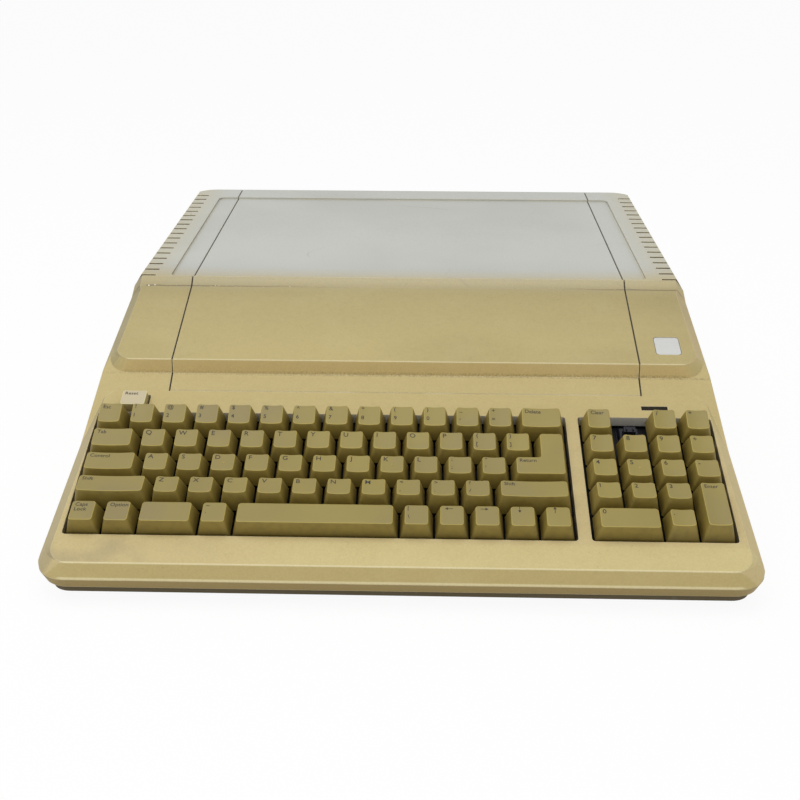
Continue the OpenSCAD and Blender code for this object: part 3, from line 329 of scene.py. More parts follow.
class CasePlastic(Finish):
    """Plastic of the case. Each layer takes the colour so far and gives it back with more on it."""

    def __init__(self, settings):
        super().__init__("case_plastic")
        self.settings = settings
        self.x, self.y, self.z = self.split(self.place)
        self.facing_x, self.facing_y, self.facing_z = self.split(self.facing)
        self.rounded, self.edge = self.soft_edges(settings.edge)
        self.wide = abs(self.x)
        self.patches = self.noise(9, 3)
        self.cloud = self.noise(30, 4)
        self.mottle = self.noise(260, 3)
        self.fleck = self.noise(900, 2)
        self.high = self.step(self.z, TOP_Z - 0.013, TOP_Z - 0.0045)
        slope = self.step(self.z, STEP_CREST_Z - 0.0002, STEP_CREST_Z + 0.0008)
        slope = slope * self.step(self.y, -0.004, -0.0095)
        self.slope = slope * self.step(self.facing_z, 0.05, 0.2)
        path = self.noise(7, 1, stretch=(0.7, 1.6, 1))
        self.scuff = self.near(path, 0.5, 0.0024, 0.0006) * self.step(self.noise(24, 2), 0.54, 0.66)

    def shell(self):
        """Yellowed plastic, a little uneven."""
        shell = self.settings.shell
        colour = self.mix(self.patches * 0.6, shell, scaled(shell, 0.94))
        colour = self.mix(self.step(self.cloud, 0.45, 0.8) * 0.3, colour, STRAW)
        return self.mix(self.step(self.mottle, 0.4, 0.75) * 0.12, colour, scaled(shell, 0.7))

    def smudged_and_shaded(self, colour):
        """Darker and yellower behind the keys, over the band too; painted shade on the sloped face, deeper
        towards its back, and smudges there from hands.
        """
        colour = self.tint(self.step(self.y, -0.125, -0.112), colour, (0.9, 0.91, 0.83))
        # Painted shade over the sloped face, deeper towards its back
        shade = self.slope * (0.4 + self.step(self.y, -0.08, -0.02) * 0.6)
        colour = self.tint(shade, colour, (0.82, 0.83, 0.84))
        smudge = self.step(self.noise(9, 4, stretch=(0.55, 1.5, 1)), 0.46, 0.75)
        return self.tint(self.slope * smudge * 0.55, colour, (0.72, 0.71, 0.68))

    def front(self, colour):
        """Painted light on the step's face; the deck's front is yellower, but for a smudge at its left."""
        # Painted light: the step's face made lighter
        riser = self.step(self.facing_y, -0.9, -0.96) * self.near(self.y, STEP_RISER_Y, 0.0017, 0.0013)
        colour = self.tint(riser, colour, (1.15, 1.09, 1.06))
        palm = self.step(self.y, PALM_BACK_Y + 0.002, PALM_BACK_Y - 0.002)
        palm = palm * self.step(self.z, DECK_FRONT_Z, DECK_FRONT_Z + 0.0004)
        colour = self.tint(palm * self.step(self.x, -0.12, -0.03), colour, (1.05, 1.09, 1.04))
        thumbed = palm * self.step(self.x, -0.08, -0.14) * self.step(self.cloud, 0.4, 0.6)
        return self.tint(thumbed, colour, (0.8, 0.8, 0.84))

    def top(self, colour):
        """The top, where something stood and kept the light away, with painted shade towards the brow,
        deeper at its left.
        """
        pale = self.step(self.y + self.patches * 0.012 + self.mottle * 0.006, -0.010, 0.036)
        pale = self.high * pale * (0.96 - self.step(self.wide, 0.150, 0.178) * 0.3)
        tone = self.step(self.patches, 0.35, 0.7)
        tone = self.mix(tone, self.settings.top, scaled(self.settings.top, 0.92))
        colour = self.mix(pale, colour, tone)
        # Painted shade over the front of the top, towards the brow, deeper at the left
        front = self.high * self.step(self.y, 0.05, 0.0)
        colour = self.tint(front, colour, (0.93, 0.93, 0.95))
        colour = self.tint(front * self.step(self.x, -0.06, -0.15), colour, (0.93, 0.93, 0.94))
        return self.mix(self.scuff * self.high * 0.3, colour, SCUFFED)

    def brow(self, colour):
        """Cracks of dirt and chips along the brow, near its ends."""
        wander = self.noise(60, 3) * 0.0016
        brow = self.near(self.y + wander, BROW_Y, 0.0007, 0.0002)
        brow = brow * self.step(self.z, TOP_Z - 0.013, TOP_Z - 0.01)
        left = self.step(self.x, -0.02, -0.15)
        ends = left * 0.9 + self.step(self.x, 0.09, 0.15) * 0.8
        cracks = brow * ends * self.step(self.noise(200, 2), 0.3, 0.45)
        colour = self.mix(cracks * 0.75, colour, self.settings.grime_and_shade)
        return self.mix(brow * left * self.step(self.noise(480, 2), 0.62, 0.68), colour, CHIPPED)

    def dirt_and_shade(self, colour):
        """A speckled dark line along the foot of the step; grime and painted shade in the corners, less of
        it on the top.
        """
        # A speckled dark line along the crease at the foot of the step
        foot = self.near(self.y, STEP_FOOT_Y, 0.0012, 0.0001)
        foot = foot * self.step(self.z, STEP_FOOT_Z - 0.001, STEP_FOOT_Z)
        foot = foot * self.step(self.z, STEP_FOOT_Z + 0.003, STEP_FOOT_Z + 0.002)
        foot = foot * (0.6 + self.step(self.x, -0.12, -0.03) * 0.4)
        foot = foot * self.step(self.fleck, 0.3, 0.7)
        colour = self.mix(foot * 0.42, colour, self.settings.grime_and_shade)
        # Grime and painted shade in the corners, where an occlusion node finds them, less on the top
        corner = self.node(
            "ShaderNodeAmbientOcclusion", {"only_local": False, "samples": 6}, {"Distance": 0.006}, out=1,
        )
        grime_and_shade = self.step(corner, 0.75, 0.25) * (0.35 + self.cloud * 0.5) * (1 - self.high * 0.75)
        return self.mix(grime_and_shade, colour, self.settings.grime_and_shade)

    def shade(self, colour):
        """Painted shade on the lower face of the nose, the underside and the sides; painted light on the
        right bevel by the slope.
        """
        # Painted shade on the lower faces and sides
        nose = self.step(self.y, DECK_FRONT_Y + 0.0007, DECK_FRONT_Y - 0.0003)
        nose = nose * self.step(abs(self.facing_x), 0.75, 0.6)
        colour = self.tint(nose, colour, (0.87, 0.86, 0.74))
        under = self.step(self.facing_z, 0.0, -0.2) * self.step(self.z, 0.02, 0.0155)
        colour = self.tint(under, colour, (0.62, 0.56, 0.40))
        side = self.step(abs(self.facing_x) - self.step(self.x, 0.05, 0.1) * 0.35, 0.45, 0.6)
        colour = self.tint(side, colour, (0.76, 0.78, 0.86))
        # Painted light: the right bevel by the slope made lighter
        bevel = self.step(self.facing_x, 0.3, 0.5) * self.step(self.x, 0.15, 0.165) * self.slope
        return self.tint(bevel, colour, (1.2, 1.15, 1.25))

    def lining(self, colour):
        """Inside of the lid and the top, which no light has yellowed."""
        lid_edge = self.step(abs(self.facing_x), 0.9, 0.97) * self.step(self.wide, 0.1422, 0.1412)
        lined = (self.step(self.facing_z, -0.1, -0.3) + lid_edge) * self.step(self.z, 0.055, 0.06)
        return self.mix(lined, colour, self.mix(self.patches, *UNYELLOWED))

    def openings(self, colour):
        """Painted shade on the walls of the vent slots; pale walls at the back of the wells."""
        # Painted shade in the vent slots
        slot = self.step(abs(self.facing_y), 0.9, 0.97)
        slot = slot * self.step(self.wide, VENT_X - 0.001, VENT_X + 0.001)
        slot = slot * self.step(self.z, 0.075, 0.08) * self.step(self.y, -0.004, 0.0)
        slot = slot * self.step(self.y, VENT_END_Y + 0.0025, VENT_END_Y - 0.0025)
        colour = self.mix(slot, colour, VENT_SHADE)
        # The wells' back walls are made pale
        well = self.near(self.y, WELL_BACK_Y, 0.0045, 0.0035) * self.step(self.facing_y, -0.85, -0.92)
        return self.mix(well, colour, WELL_PALE)

    def wear(self, colour):
        """Pale edges, part wear and part painted highlight; painted highlights along the crests; darker
        flecks and specks of grime.
        """
        # Pale edges: part wear, part painted highlight
        rubbed = self.edge * (0.3 + self.step(self.cloud, 0.3, 0.6) * 0.5)
        colour = self.mix(rubbed, colour, WORN_AND_LIT_EDGE)
        # Painted highlights along the step's crest, the deck's front crease and the nose's edge
        crest = self.near(self.y, STEP_CREST_Y, 0.0006, 0.0002)
        crest = crest * self.step(self.z, STEP_CREST_Z - 0.0002, STEP_CREST_Z + 0.0002)
        deck_crest = self.near(self.y, DECK_FRONT_Y + 0.0002, 0.0007, 0.0003)
        deck_crest = deck_crest * self.step(self.z, DECK_FRONT_Z - 0.0005, DECK_FRONT_Z - 0.0001)
        nose_edge = self.near(self.z, NOSE_EDGE_Z, 0.0008, 0.0003)
        nose_edge = nose_edge * self.step(self.y, NOSE_EDGE_Y + 0.0004, NOSE_EDGE_Y - 0.0004)
        colour = self.mix((crest + deck_crest + nose_edge) * 0.55, colour, CREST_HIGHLIGHT)
        colour = self.tint(self.step(self.fleck, 0.35, 0.7) * 0.5, colour, (0.88, 0.88, 0.86))
        specks = self.step(self.noise(420, 2), 0.68, 0.76)
        return self.mix(specks * 0.12, colour, self.settings.grime_and_shade)

    def seam(self, colour):
        """Painted shade: a dark line along the gap at the lid's sides."""
        # Painted shade along the gap at the lid's sides
        seam = self.near(self.wide, SEAM_X, 0.0007, 0.00035) * self.step(self.facing_z, 0.2, 0.3)
        seam = seam * self.step(self.y, LID_FRONT_Y - 0.0003, LID_FRONT_Y + 0.0003)
        return self.mix(seam * 0.92, colour, SEAM_SHADE)


def case_plastic(settings):
    """Yellowed moulded plastic; the flat top has kept its pale grey, with dirt along the brow."""
    f = CasePlastic(settings)
    colour = f.shell()
    for layer in (f.smudged_and_shaded, f.front, f.top, f.brow, f.dirt_and_shade, f.shade, f.lining, f.openings, f.wear, f.seam):
        colour = layer(colour)
    height = f.noise(1500, 2) + f.cloud * 0.4 - f.scuff * 0.6
    f.set(**{
        "Base Color": colour,
        "Roughness": 0.5 + f.cloud * 0.15,
        "Normal": f.bump(height, 0.00004, 0.5, f.rounded),
    })


def key_plastic(settings, name="key_plastic", colour=None):
    """Key plastic: worn smooth and paler on top, with a painted highlight round the top's rolled edge;
    dirty down its sides, and darker towards their foot as painted shade.
    """
    base = tuple(colour or settings.plastic)
    f = Finish(name)
    level = (-DECK_TILT, 0, 0)
    deck = f.node("ShaderNodeMapping", {"vector_type": "POINT"}, {"Vector": f.place, "Rotation": level})
    facing = f.node("ShaderNodeMapping", {"vector_type": "NORMAL"}, {"Vector": f.facing, "Rotation": level})
    up = f.split(facing)[2]
    height = f.split(deck)[2]
    patches = f.noise(26, 3)
    grain = f.noise(1300, 2)
    smear = f.noise(240, 4)
    top = f.step(up, 0.75, 0.95)
    tone = f.mix(patches, scaled(base, 0.88), scaled(base, 1.12))
    greyed = f.step(f.noise(15, 2), 0.48, 0.62)
    tone = f.mix(greyed * 0.6, tone, [base[0] * 0.86, base[1] * 0.87, base[2] * 1.3])
    left = f.step(f.split(f.place)[0], -0.02, -0.12)
    tone = f.tint(left, tone, (0.94, 0.94, 1.12))
    clean = [base[0], base[1] * 0.96, base[2] * 0.9]
    side = f.mix(f.step(smear, 0.35, 0.8) * 0.4, clean, (0.15, 0.11, 0.035))
    # Painted shade, darker towards the foot of the sides
    side = f.tint(f.step(height, 0.1025, 0.0945), side, (0.62, 0.6, 0.5))
    # Painted highlight round the rolled edge of the top, with a little wear
    shine = f.step(up, 0.5, 0.75) * f.step(up, 0.97, 0.8)
    tone = f.mix(top, side, tone)
    tone = f.mix(shine * 0.85, tone, scaled(base, 2))
    f.set(**{
        "Base Color": tone,
        "Roughness": 0.5 - top * 0.08 + smear * 0.08,
        "Normal": f.bump(grain, 0.00003, 0.5),
    })


def plain_plastic(name, colour, roughness=0.45, wear=0.12, shine=0.5):
    """Moulded plastic with a fine grain and a little colour variation."""
    f = Finish(name, colour, roughness)
    cloud = f.noise(120, 3)
    grain = f.noise(1800, 2)
    tone = f.mix(cloud, scaled(colour, 1 - wear), scaled(colour, 1 + wear))
    f.set(**{
        "Base Color": tone,
        "Roughness": roughness + cloud * 0.1,
        "Specular IOR Level": shine,
        "Normal": f.bump(grain, 0.00003, 0.6),
    })


def sheet_metal(name, colour, roughness=0.38, brush=(1, 14, 14)):
    """Plated sheet with a rolled grain, faint spangle and dull patches."""
    f = Finish(name, colour, roughness, 1.0)
    lines = f.noise(90, 4, stretch=brush)
    spangle = f.node("ShaderNodeTexVoronoi", {"feature": "F1"}, {"Vector": f.place, "Scale": 160.0})
    dull = f.noise(18, 4)
    tone = f.mix(lines * 0.4 + dull * 0.3, colour, scaled(colour, 0.72))
    f.set(**{
        "Base Color": tone,
        "Roughness": roughness + dull * 0.15 + spangle * 0.1,
        "Normal": f.bump(lines, 0.00003, 0.3),
    })


def painted_plate(name, paint_colour, rubbed):
    """Steel plate in dull paint that has rubbed thin in places."""
    f = Finish(name, paint_colour, 0.55)
    rub = f.step(f.noise(90, 4), 0.62, 0.78)
    f.set(**{
        "Base Color": f.mix(rub * 0.5, paint_colour, rubbed),
        "Roughness": 0.6 - rub * 0.15,
        "Specular IOR Level": 0.2,
        "Normal": f.bump(f.noise(1400, 2), 0.00003, 0.5),
    })


def rubber():
    """Dark rubber of the feet, with dust on it."""
    clean = (0.05, 0.047, 0.043)
    f = Finish("rubber", clean, 0.8)
    dust = f.noise(70, 5)
    f.set(**{
        "Base Color": f.mix(f.step(dust, 0.5, 0.75) * 0.5, clean, (0.16, 0.15, 0.13)),
        "Normal": f.bump(f.noise(900, 3), 0.00006, 0.6),
    })


def circuit_board(name, mask, copper):
    """Board with a solder mask, tracks that show through it and rows of pads."""
    f = Finish(name, mask, 0.35)
    cells = f.node(
        "ShaderNodeTexVoronoi", {"feature": "F1", "distance": "CHEBYCHEV"},
        {"Vector": f.place, "Scale": 120.0},
    )
    x, y, _ = f.split(f.place)
    track = f.step(abs((x * 400 + f.noise(40, 2) * 3).part() - 0.5), 0.2, 0.26)
    cross = f.step(abs((y * 300 + f.noise(30, 2) * 3).part() - 0.5), 0.3, 0.36)
    area = f.step(f.noise(24, 1), 0.45, 0.52)
    lines = track * area + cross * (1 - area)
    pads = f.step(cells, 0.1, 0.07)
    colour = f.mix(lines * 0.7, mask, [min(1, c * 2.1 + 0.015) for c in mask])
    colour = f.mix(pads, colour, copper)
    f.set(**{"Base Color": colour, "Roughness": 0.3 + lines * 0.12, "Normal": f.bump(lines, 0.00004, 0.7)})


def ribbon_cable():
    """Flat cable of parallel wires, with one marked edge."""
    wire_pitch = 0.00127
    f = Finish("ribbon_cable", (0.45, 0.45, 0.43), 0.5)
    x, _, z = f.split(f.place)
    wire = (x / wire_pitch + 50).part()
    round_wire = f.step(abs(wire - 0.5), 0.5, 0.15)
    marked = f.step(x, -0.0152, -0.0156)
    body = f.step(abs(x), 0.0172, 0.0171)
    colour = f.mix(round_wire, (0.22, 0.22, 0.21), (0.5, 0.5, 0.48))
    colour = f.mix(marked, colour, (0.4, 0.05, 0.04))
    block = f.step(z, 0.0235, 0.0228)
    f.set(**{
        "Base Color": f.mix(block, colour, (0.05, 0.05, 0.05)),
        "Normal": f.bump(round_wire * body, 0.0003, 0.8),
    })


def speaker_paper():
    """Paper cone inside a steel basket, with the plated magnet on top."""
    paper = (0.06, 0.055, 0.05)
    f = Finish("speaker_paper", paper, 0.85)
    steel = f.step(f.split(f.place)[2], 0.0172, 0.0176)
    f.set(**{
        "Base Color": f.mix(steel, paper, (0.55, 0.55, 0.55)),
        "Metallic": steel,
        "Roughness": 0.85 - steel * 0.5,
        "Normal": f.bump(f.noise(700, 4), 0.0001, 0.5),
    })


def lamp_lens():
    """Smoked window of the power lamp."""
    f = Finish("lamp_lens", (0.02, 0.018, 0.013), 0.6)
    cloud = f.noise(300, 2)
    f.set(**{
        "Base Color": f.mix(cloud, (0.014, 0.012, 0.008), (0.03, 0.026, 0.018)),
        "Roughness": 0.55 + cloud * 0.2,
        "Specular IOR Level": 0.08,
    })


def supply_parts():
    """Board, transformer, capacitors and heat sink of the power supply, by their height and place."""
    f = Finish("supply_parts", (0.25, 0.14, 0.06), 0.5)
    x, _, z = f.split(f.place)
    high = f.step(z, 0.0161, 0.0163)
    sink = high * f.step(x, -0.1125, -0.1115)
    tone = f.mix(f.noise(60, 3), (0.20, 0.11, 0.045), (0.27, 0.16, 0.07))
    parts = f.mix(f.noise(200, 3), (0.03, 0.035, 0.06), (0.08, 0.08, 0.09))
    tone = f.mix(high, tone, parts)
    f.set(**{
        "Base Color": f.mix(sink, tone, (0.6, 0.6, 0.6)),
        "Metallic": sink,
        "Normal": f.bump(f.noise(500, 2), 0.00005, 0.5),
    })


def make_finishes(settings):
    """Every material of the computer, kept by name."""
    inside = settings.inside
    case_plastic(settings.case)
    key_plastic(settings.keys)
    key_plastic(settings.keys, "reset_plastic", settings.keys.reset)
    plain_plastic("legend_ink", settings.keys.ink, 0.6)
    plain_plastic("plunger_plastic", (0.16, 0.10, 0.055), 0.4)
    # Black, made darker still to stand for the shade in the key holes: part painted shade
    plain_plastic("housing_plastic", (0.012, 0.012, 0.018), 0.35, shine=0.25)
    plain_plastic("black_plastic", (0.022, 0.022, 0.023), 0.38)
    plain_plastic("plug_plastic", (0.50, 0.43, 0.27), 0.5)
    plain_plastic("nylon", (0.72, 0.70, 0.62), 0.4)
    plain_plastic("socket_plastic", (0.03, 0.17, 0.16), 0.4)
    plain_plastic("chip_epoxy", (0.028, 0.028, 0.03), 0.5)
    plain_plastic("cable_sheath", (0.03, 0.03, 0.03), 0.5)
    plain_plastic("red_sheath", (0.45, 0.03, 0.025), 0.5)
    sheet_metal("zinc_sheet", (0.62, 0.62, 0.60), 0.42)
    sheet_metal("screw_steel", (0.60, 0.59, 0.56), 0.3, (1, 1, 1))
    sheet_metal("badge_silver", (0.58, 0.58, 0.56), 0.4)
    sheet_metal("tinned_legs", (0.7, 0.7, 0.68), 0.3, (1, 1, 1))
    sheet_metal("brass", (0.75, 0.52, 0.2), 0.3, (1, 1, 1))
    circuit_board("logic_laminate", inside.board, (0.55, 0.5, 0.4))
    circuit_board("keyboard_laminate", (0.22, 0.12, 0.045), (0.5, 0.45, 0.35))
    ribbon_cable()
    speaker_paper()
    # Black paint, made darker still to stand for the shade in the key holes: part painted shade
    painted_plate("key_plate_paint", (0.007, 0.007, 0.009), (0.03, 0.03, 0.035))
    # Dark paint on the base plate, so that its strip under the case reads as the shadow there: painted
    # shadow
    painted_plate("base_shadow_paint", (0.13, 0.105, 0.06), (0.2, 0.17, 0.11))
    lamp_lens()
    supply_parts()
    rubber()


def finish_named(name):
    """The material that make_finishes kept under a name."""
    return bpy.data.materials[name]


def paint(finish, *nodes):
    """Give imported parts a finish, without touching their meshes."""
    for name in nodes:
        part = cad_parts[name]
        for slot in part.material_slots:
            slot.link = "OBJECT"
            slot.material = finish_named(finish)


# ---- mesh helpers ----


def new_piece(name, mesh_or_bmesh, finishes, body, replaced=()):
    """Make a piece of the computer from a mesh and let it ride on a body."""
    if isinstance(mesh_or_bmesh, bmesh.types.BMesh):
        mesh = bpy.data.meshes.new(name)
        mesh_or_bmesh.to_mesh(mesh)
        mesh_or_bmesh.free()
    else:
        mesh = mesh_or_bmesh
    mesh.name = name
    if mesh.materials:
        mesh.materials.clear()
    for finish in finishes:
        mesh.materials.append(finish_named(finish))
    mesh.shade_smooth()
    mesh.set_sharp_from_angle(angle=math.radians(38))
    piece = bpy.data.objects.new(name, mesh)
    bpy.context.scene.collection.objects.link(piece)
    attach(piece, body)
    if replaced:
        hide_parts(*replaced)


def rounded_loop(corners, radius, steps, spans):
    """Points round a loop of square corners, anticlockwise, with spans[i] more points on side i."""
    loop = []
    for i, corner in enumerate(corners):
        following = corners[(i + 1) % len(corners)]
        before = (corner - corners[i - 1]).normalized()
        after = (following - corner).normalized()
        centre = corner + (after - before) * radius
        for k in range(steps + 1):
            a = math.pi / 2 * k / steps
            loop.append(centre - after * radius * math.cos(a) + before * radius * math.sin(a))
        end = loop[-1]
        start = following - after * radius
        for k in range(spans[i]):
            loop.append(end.lerp(start, (k + 1) / (spans[i] + 1)))
    return loop


def inward(loop):
    """Unit directions that point into an anticlockwise loop, one for each point."""
    found = []
    for i in range(len(loop)):
        along = (loop[(i + 1) % len(loop)] - loop[i - 1]).normalized()
        found.append(Vector((-along.y, along.x)))
    return found


def add_rings(bm, place, rings, first, last, material=0):
    """Skin a closed solid over rings of points between its two end points."""
    made = [[bm.verts.new(place @ Vector(p)) for p in ring] for ring in rings]
    count = len(rings[0])
    faces = []
    for lower, upper in zip(made, made[1:]):
        for i in range(count):
            j = (i + 1) % count
            faces.append(bm.faces.new((lower[i], lower[j], upper[j], upper[i])))
    for ring, point, turned in ((made[0], first, True), (made[-1], last, False)):
        tip = bm.verts.new(place @ Vector(point))
        for i in range(count):
            j = (i + 1) % count
            faces.append(bm.faces.new((ring[j], ring[i], tip) if turned else (ring[i], ring[j], tip)))
    for face in faces:
        face.material_index = material


def add_box(bm, place, low, high, material=0):
    """Add a box between two corners."""
    low, high = Vector(low), Vector(high)
    at = place @ Matrix.Translation((low + high) / 2) @ Matrix.Diagonal((*(high - low), 1))
    made = bmesh.ops.create_cube(bm, size=1, matrix=at)
    for face in {f for v in made["verts"] for f in v.link_faces}:
        face.material_index = material


# ---- the lid ----


def make_lid_lip():
    """Lip under the lid's front edge, which fills the gap to the deck but for a hair."""
    bm = bmesh.new()
    half = SEAM_X - 0.00045
    front, back, low = -0.09633, -0.09585, 0.0675
    section = ((front, 0.0683), (front, low), (back, low), (back, 0.06857))
    ends = [[bm.verts.new((x, y, z)) for y, z in section] for x in (-half, half)]
    for i in range(4):
        j = (i + 1) % 4
        bm.faces.new((ends[0][i], ends[1][i], ends[1][j], ends[0][j]))
    bm.faces.new(ends[0])
    bm.faces.new(ends[1][::-1])
    bmesh.ops.recalc_face_normals(bm, faces=bm.faces)
    new_piece("lid_lip", bm, ["case_plastic"], "lid")


# ---- keycaps ----

# In millimetres, over the deck. For each row from the front: height and tilt of the tops, and
# how far their front and back edges stand in from the skirt
ROW_TOP = [8.6, 10.4, 8.6, 8.4, 9.9]
ROW_TILT = [-1, -5, 0, 5, 9]
FRONT_TAPER = [1.6, 2.3, 2.3, 2.6, 2.0]
BACK_TAPER = [2.5, 3.4, 3.0, 2.8, 2.6]
TAPER = 2.7
POINT_CUT = 2.2
UPRIGHT_TAPER = (0.5, 0.4, 0.5)
SKIRT_Z = -2.0
SKIRT_CORNER = 1.2
KEY_GAP = 1.15
DISH = 0.7
CAP_WALL = 1.1
CORNER_STEPS = 5

# Where the keys begin, at the left and the front; how far right the keypad starts, in key widths
KEYS_X = -181.6
KEYS_V = 20.5
PAD_UNITS = 14.5 + 9.7 / 19.05
RESET_AT = (-162.3, 124)
RESET_SIZE = (15.5, 13)

# The plunger of a switch: half its width and depth, its foot, and where it meets the cap's post
PLUNGER_HALF = (3.5, 2.2)
PLUNGER_FOOT = -9.6
PLUNGER_TOP = 1.2
POST_HALF = (2.3, 1.1)

# For each imported part: its row, how far from the left its first key starts, in key widths,
# and its keys as pairs of a width and a legend, given as a list of the legend's lines
KEYS = {
    "caps_lock_key": (0, 0, [(1, ["Caps", "Lock"])]),
    "option_key": (0, 1, [(1, ["Option"])]),
    "command_key": (0, 2, [(1.75, [])]),
    "tilde_key": (0, 3.75, [(1, ["~", "`"])]),
    "space_bar": (0, 4.75, [(4.75, [])]),
    "backslash_key": (0, 9.5, [(1, ["|", "\\"])]),
    "left_arrow_key": (0, 10.5, [(1, ["arrow", 180])]),
    "right_arrow_key": (0, 11.5, [(1, ["arrow", 0])]),
    "down_arrow_key": (0, 12.5, [(1, ["arrow", -90])]),
    "up_arrow_key": (0, 13.5, [(1, ["arrow", 90])]),
    "left_shift_key": (1, 0, [(2.25, ["Shift"])]),
    "lower_letter_keys": (1, 2.25, [(1, [c]) for c in "ZXCVBNM"] + [
        (1, ["<", ","]), (1, [">", "."]), (1, ["?", "/"])]),
    "right_shift_key": (1, 12.25, [(2.25, ["Shift"])]),
    "control_key": (2, 0, [(1.75, ["Control"])]),
    "home_letter_keys": (2, 1.75, [(1, [c]) for c in "ASDFGHJKL"] + [(1, [":", ";"]), (1, ['"', "'"])]),
    "return_key": (2, 12.75, [(1.75, ["Return"])]),
    "tab_key": (3, 0, [(1.5, ["Tab"])]),
    "upper_letter_keys": (3, 1.5, [(1, [c]) for c in "QWERTYUIOP"] + [(1, ["{", "["]), (1, ["}", "]"])]),
    "esc_key": (4, 0, [(1, ["Esc"])]),
    "number_keys": (4, 1, [(1, [a, b]) for a, b in zip("!@#$%^&*()_+", "1234567890-=")]),
    "delete_key": (4, 13, [(1.5, ["Delete"])]),
    "clear_key": (4, PAD_UNITS, [(1, ["Clear"])]),
}
# Keys of the keypad's grouped parts: column, row and legend
PAD_KEYS = {
    "keypad_number_keys": [(i % 3, 1 + i // 3, str(i + 1)) for i in range(9)] + [(2, 0, ".")],
    "keypad_sign_keys": [(2, 4, "/"), (3, 4, "*"), (3, 3, "+"), (3, 2, "-")],
}
HOMING = ("D", "K", "5")
INK_DEPTH = 0.02


class Letters:
    """Turns words into thin solids that lie on a key's top."""

    def __init__(self):
        self.known = {}
        self.capital = 1.0
        self.capital = max(p[1] for p in self.shape("H")[0])

    def shape(self, text):
        """Points and faces of a word, made once."""
        if text not in self.known:
            curve = bpy.data.curves.new("letters", "FONT")
            curve.body = text
            curve.extrude = INK_DEPTH
            curve.offset = 0.008
            curve.resolution_u = 3
            word = bpy.data.objects.new("letters", curve)
            bpy.context.scene.collection.objects.link(word)
            bpy.context.view_layer.update()
            graph = bpy.context.evaluated_depsgraph_get()
            solid = bpy.data.meshes.new_from_object(word.evaluated_get(graph))
            bm = bmesh.new()
            bm.from_mesh(solid)
            bmesh.ops.remove_doubles(bm, verts=bm.verts, dist=1e-5)
            bmesh.ops.recalc_face_normals(bm, faces=bm.faces)
            bm.verts.index_update()
            left = min(v.co.x for v in bm.verts)
            self.known[text] = (
                [(v.co.x - left, v.co.y, v.co.z) for v in bm.verts],
                [[v.index for v in face.verts] for face in bm.faces],
            )
            bm.free()
            bpy.data.objects.remove(word)
            bpy.data.meshes.remove(solid)
            bpy.data.curves.remove(curve)
        return self.known[text]

    def add(self, bm, place, height, text, at, size, material=2):
        """Lay a word on a key's top with its lower left corner at a point."""
        points, faces = self.shape(text)
        scale = size / self.capital
        points = [(at[0] + p[0] * scale, at[1] + p[1] * scale, p[2]) for p in points]
        self.lay(bm, place, height, points, faces, material)

    def arrow(self, bm, place, height, at, turn, material=2):
        """Lay an arrow on a key's top with its middle at a point."""
        tail, neck, tip, thin, broad = -2.1, 0.6, 2.2, 0.17, 0.95
        outline = [
            (tail, -thin), (neck, -thin), (neck, -broad),
            (tip, 0), (neck, broad), (neck, thin), (tail, thin),
        ]
        spin = Matrix.Rotation(math.radians(turn), 2)
        flat = [spin @ Vector(p) + Vector(at) for p in outline]
        n = len(flat)
        points = [(p.x, p.y, z) for z in (-INK_DEPTH, INK_DEPTH) for p in flat]
        faces = [list(range(n))[::-1], list(range(n, 2 * n))]
        faces += [[i, (i + 1) % n, n + (i + 1) % n, n + i] for i in range(n)]
        self.lay(bm, place, height, points, faces, material)

    def lay(self, bm, place, height, points, faces, material):
        """Bend a flat solid over a key's top, half sunk into it."""
        made = []
        for x, y, z in points:
            over = height(Vector((x, y))) + 0.01 + z * 2
            made.append(bm.verts.new(place @ Vector((x, y, over))))
        for face in faces:
            bm.faces.new([made[i] for i in face]).material_index = material


def cap_height(top, tilt, half, dished):
    """Height of a key's top over the deck at a point of it."""
    slope = math.tan(math.radians(tilt))

    def height(point):
        dish = DISH * max(0, 1 - (point.x / half) ** 2) if dished else 0
        return top + point.y * slope - dish
    return height


def skin_rings(bm, place, low, high, height, centre, settings):
    """Skin a keycap between its skirt's outline and its top's outline."""
    count = len(low)
    low_in, high_in = inward(low), inward(high)
    roll = settings.roll

    def on_wall(i, z):
        share = (z - SKIRT_Z) / (height(high[i]) - SKIRT_Z)
        return low[i].lerp(high[i], share)

    def level(i, drop, shift):
        p = on_wall(i, height(high[i]) - drop) + high_in[i] * shift
        return (p.x, p.y, height(p) - drop)

    rings = []
    ceiling = [high[i] + high_in[i] * CAP_WALL for i in range(count)]
    rings.append([(p.x, p.y, height(p) - CAP_WALL) for p in ceiling])
    rim = [low[i] + low_in[i] * CAP_WALL for i in range(count)]
    rings.append([(p.x, p.y, SKIRT_Z) for p in rim])
    rings.append([(p.x, p.y, SKIRT_Z) for p in low])
    rings.append([level(i, 4 * roll, 0) for i in range(count)])
    for k in range(5):
        a = math.pi / 2 * k / 4
        rings.append([level(i, roll * (1 - math.sin(a)), roll * (1 - math.cos(a))) for i in range(count)])
    edge = [Vector(p[:2]) for p in rings[-1]]
    for share in (0.12, 0.35, 0.6, 0.82):
        ring = [p.lerp(centre, share) for p in edge]
        rings.append([(p.x, p.y, height(p)) for p in ring])
    add_rings(
        bm, place, rings,
        (centre.x, centre.y, height(centre) - CAP_WALL), (centre.x, centre.y, height(centre)),
    )


def square_corners(w, d):
    """Corners of a rectangle about the middle, anticlockwise from the left front one."""
    return [Vector((sx * w / 2, sy * d / 2)) for sx, sy in ((-1, -1), (1, -1), (1, 1), (-1, 1))]


def top_corners(corners, side, front, back):
    """Corners of a key's top over a rectangular skirt."""
    return [
        corners[0] + Vector((side, front)), corners[1] + Vector((-side, front)),
        corners[2] + Vector((-side, -back)), corners[3] + Vector((side, -back)),
    ]


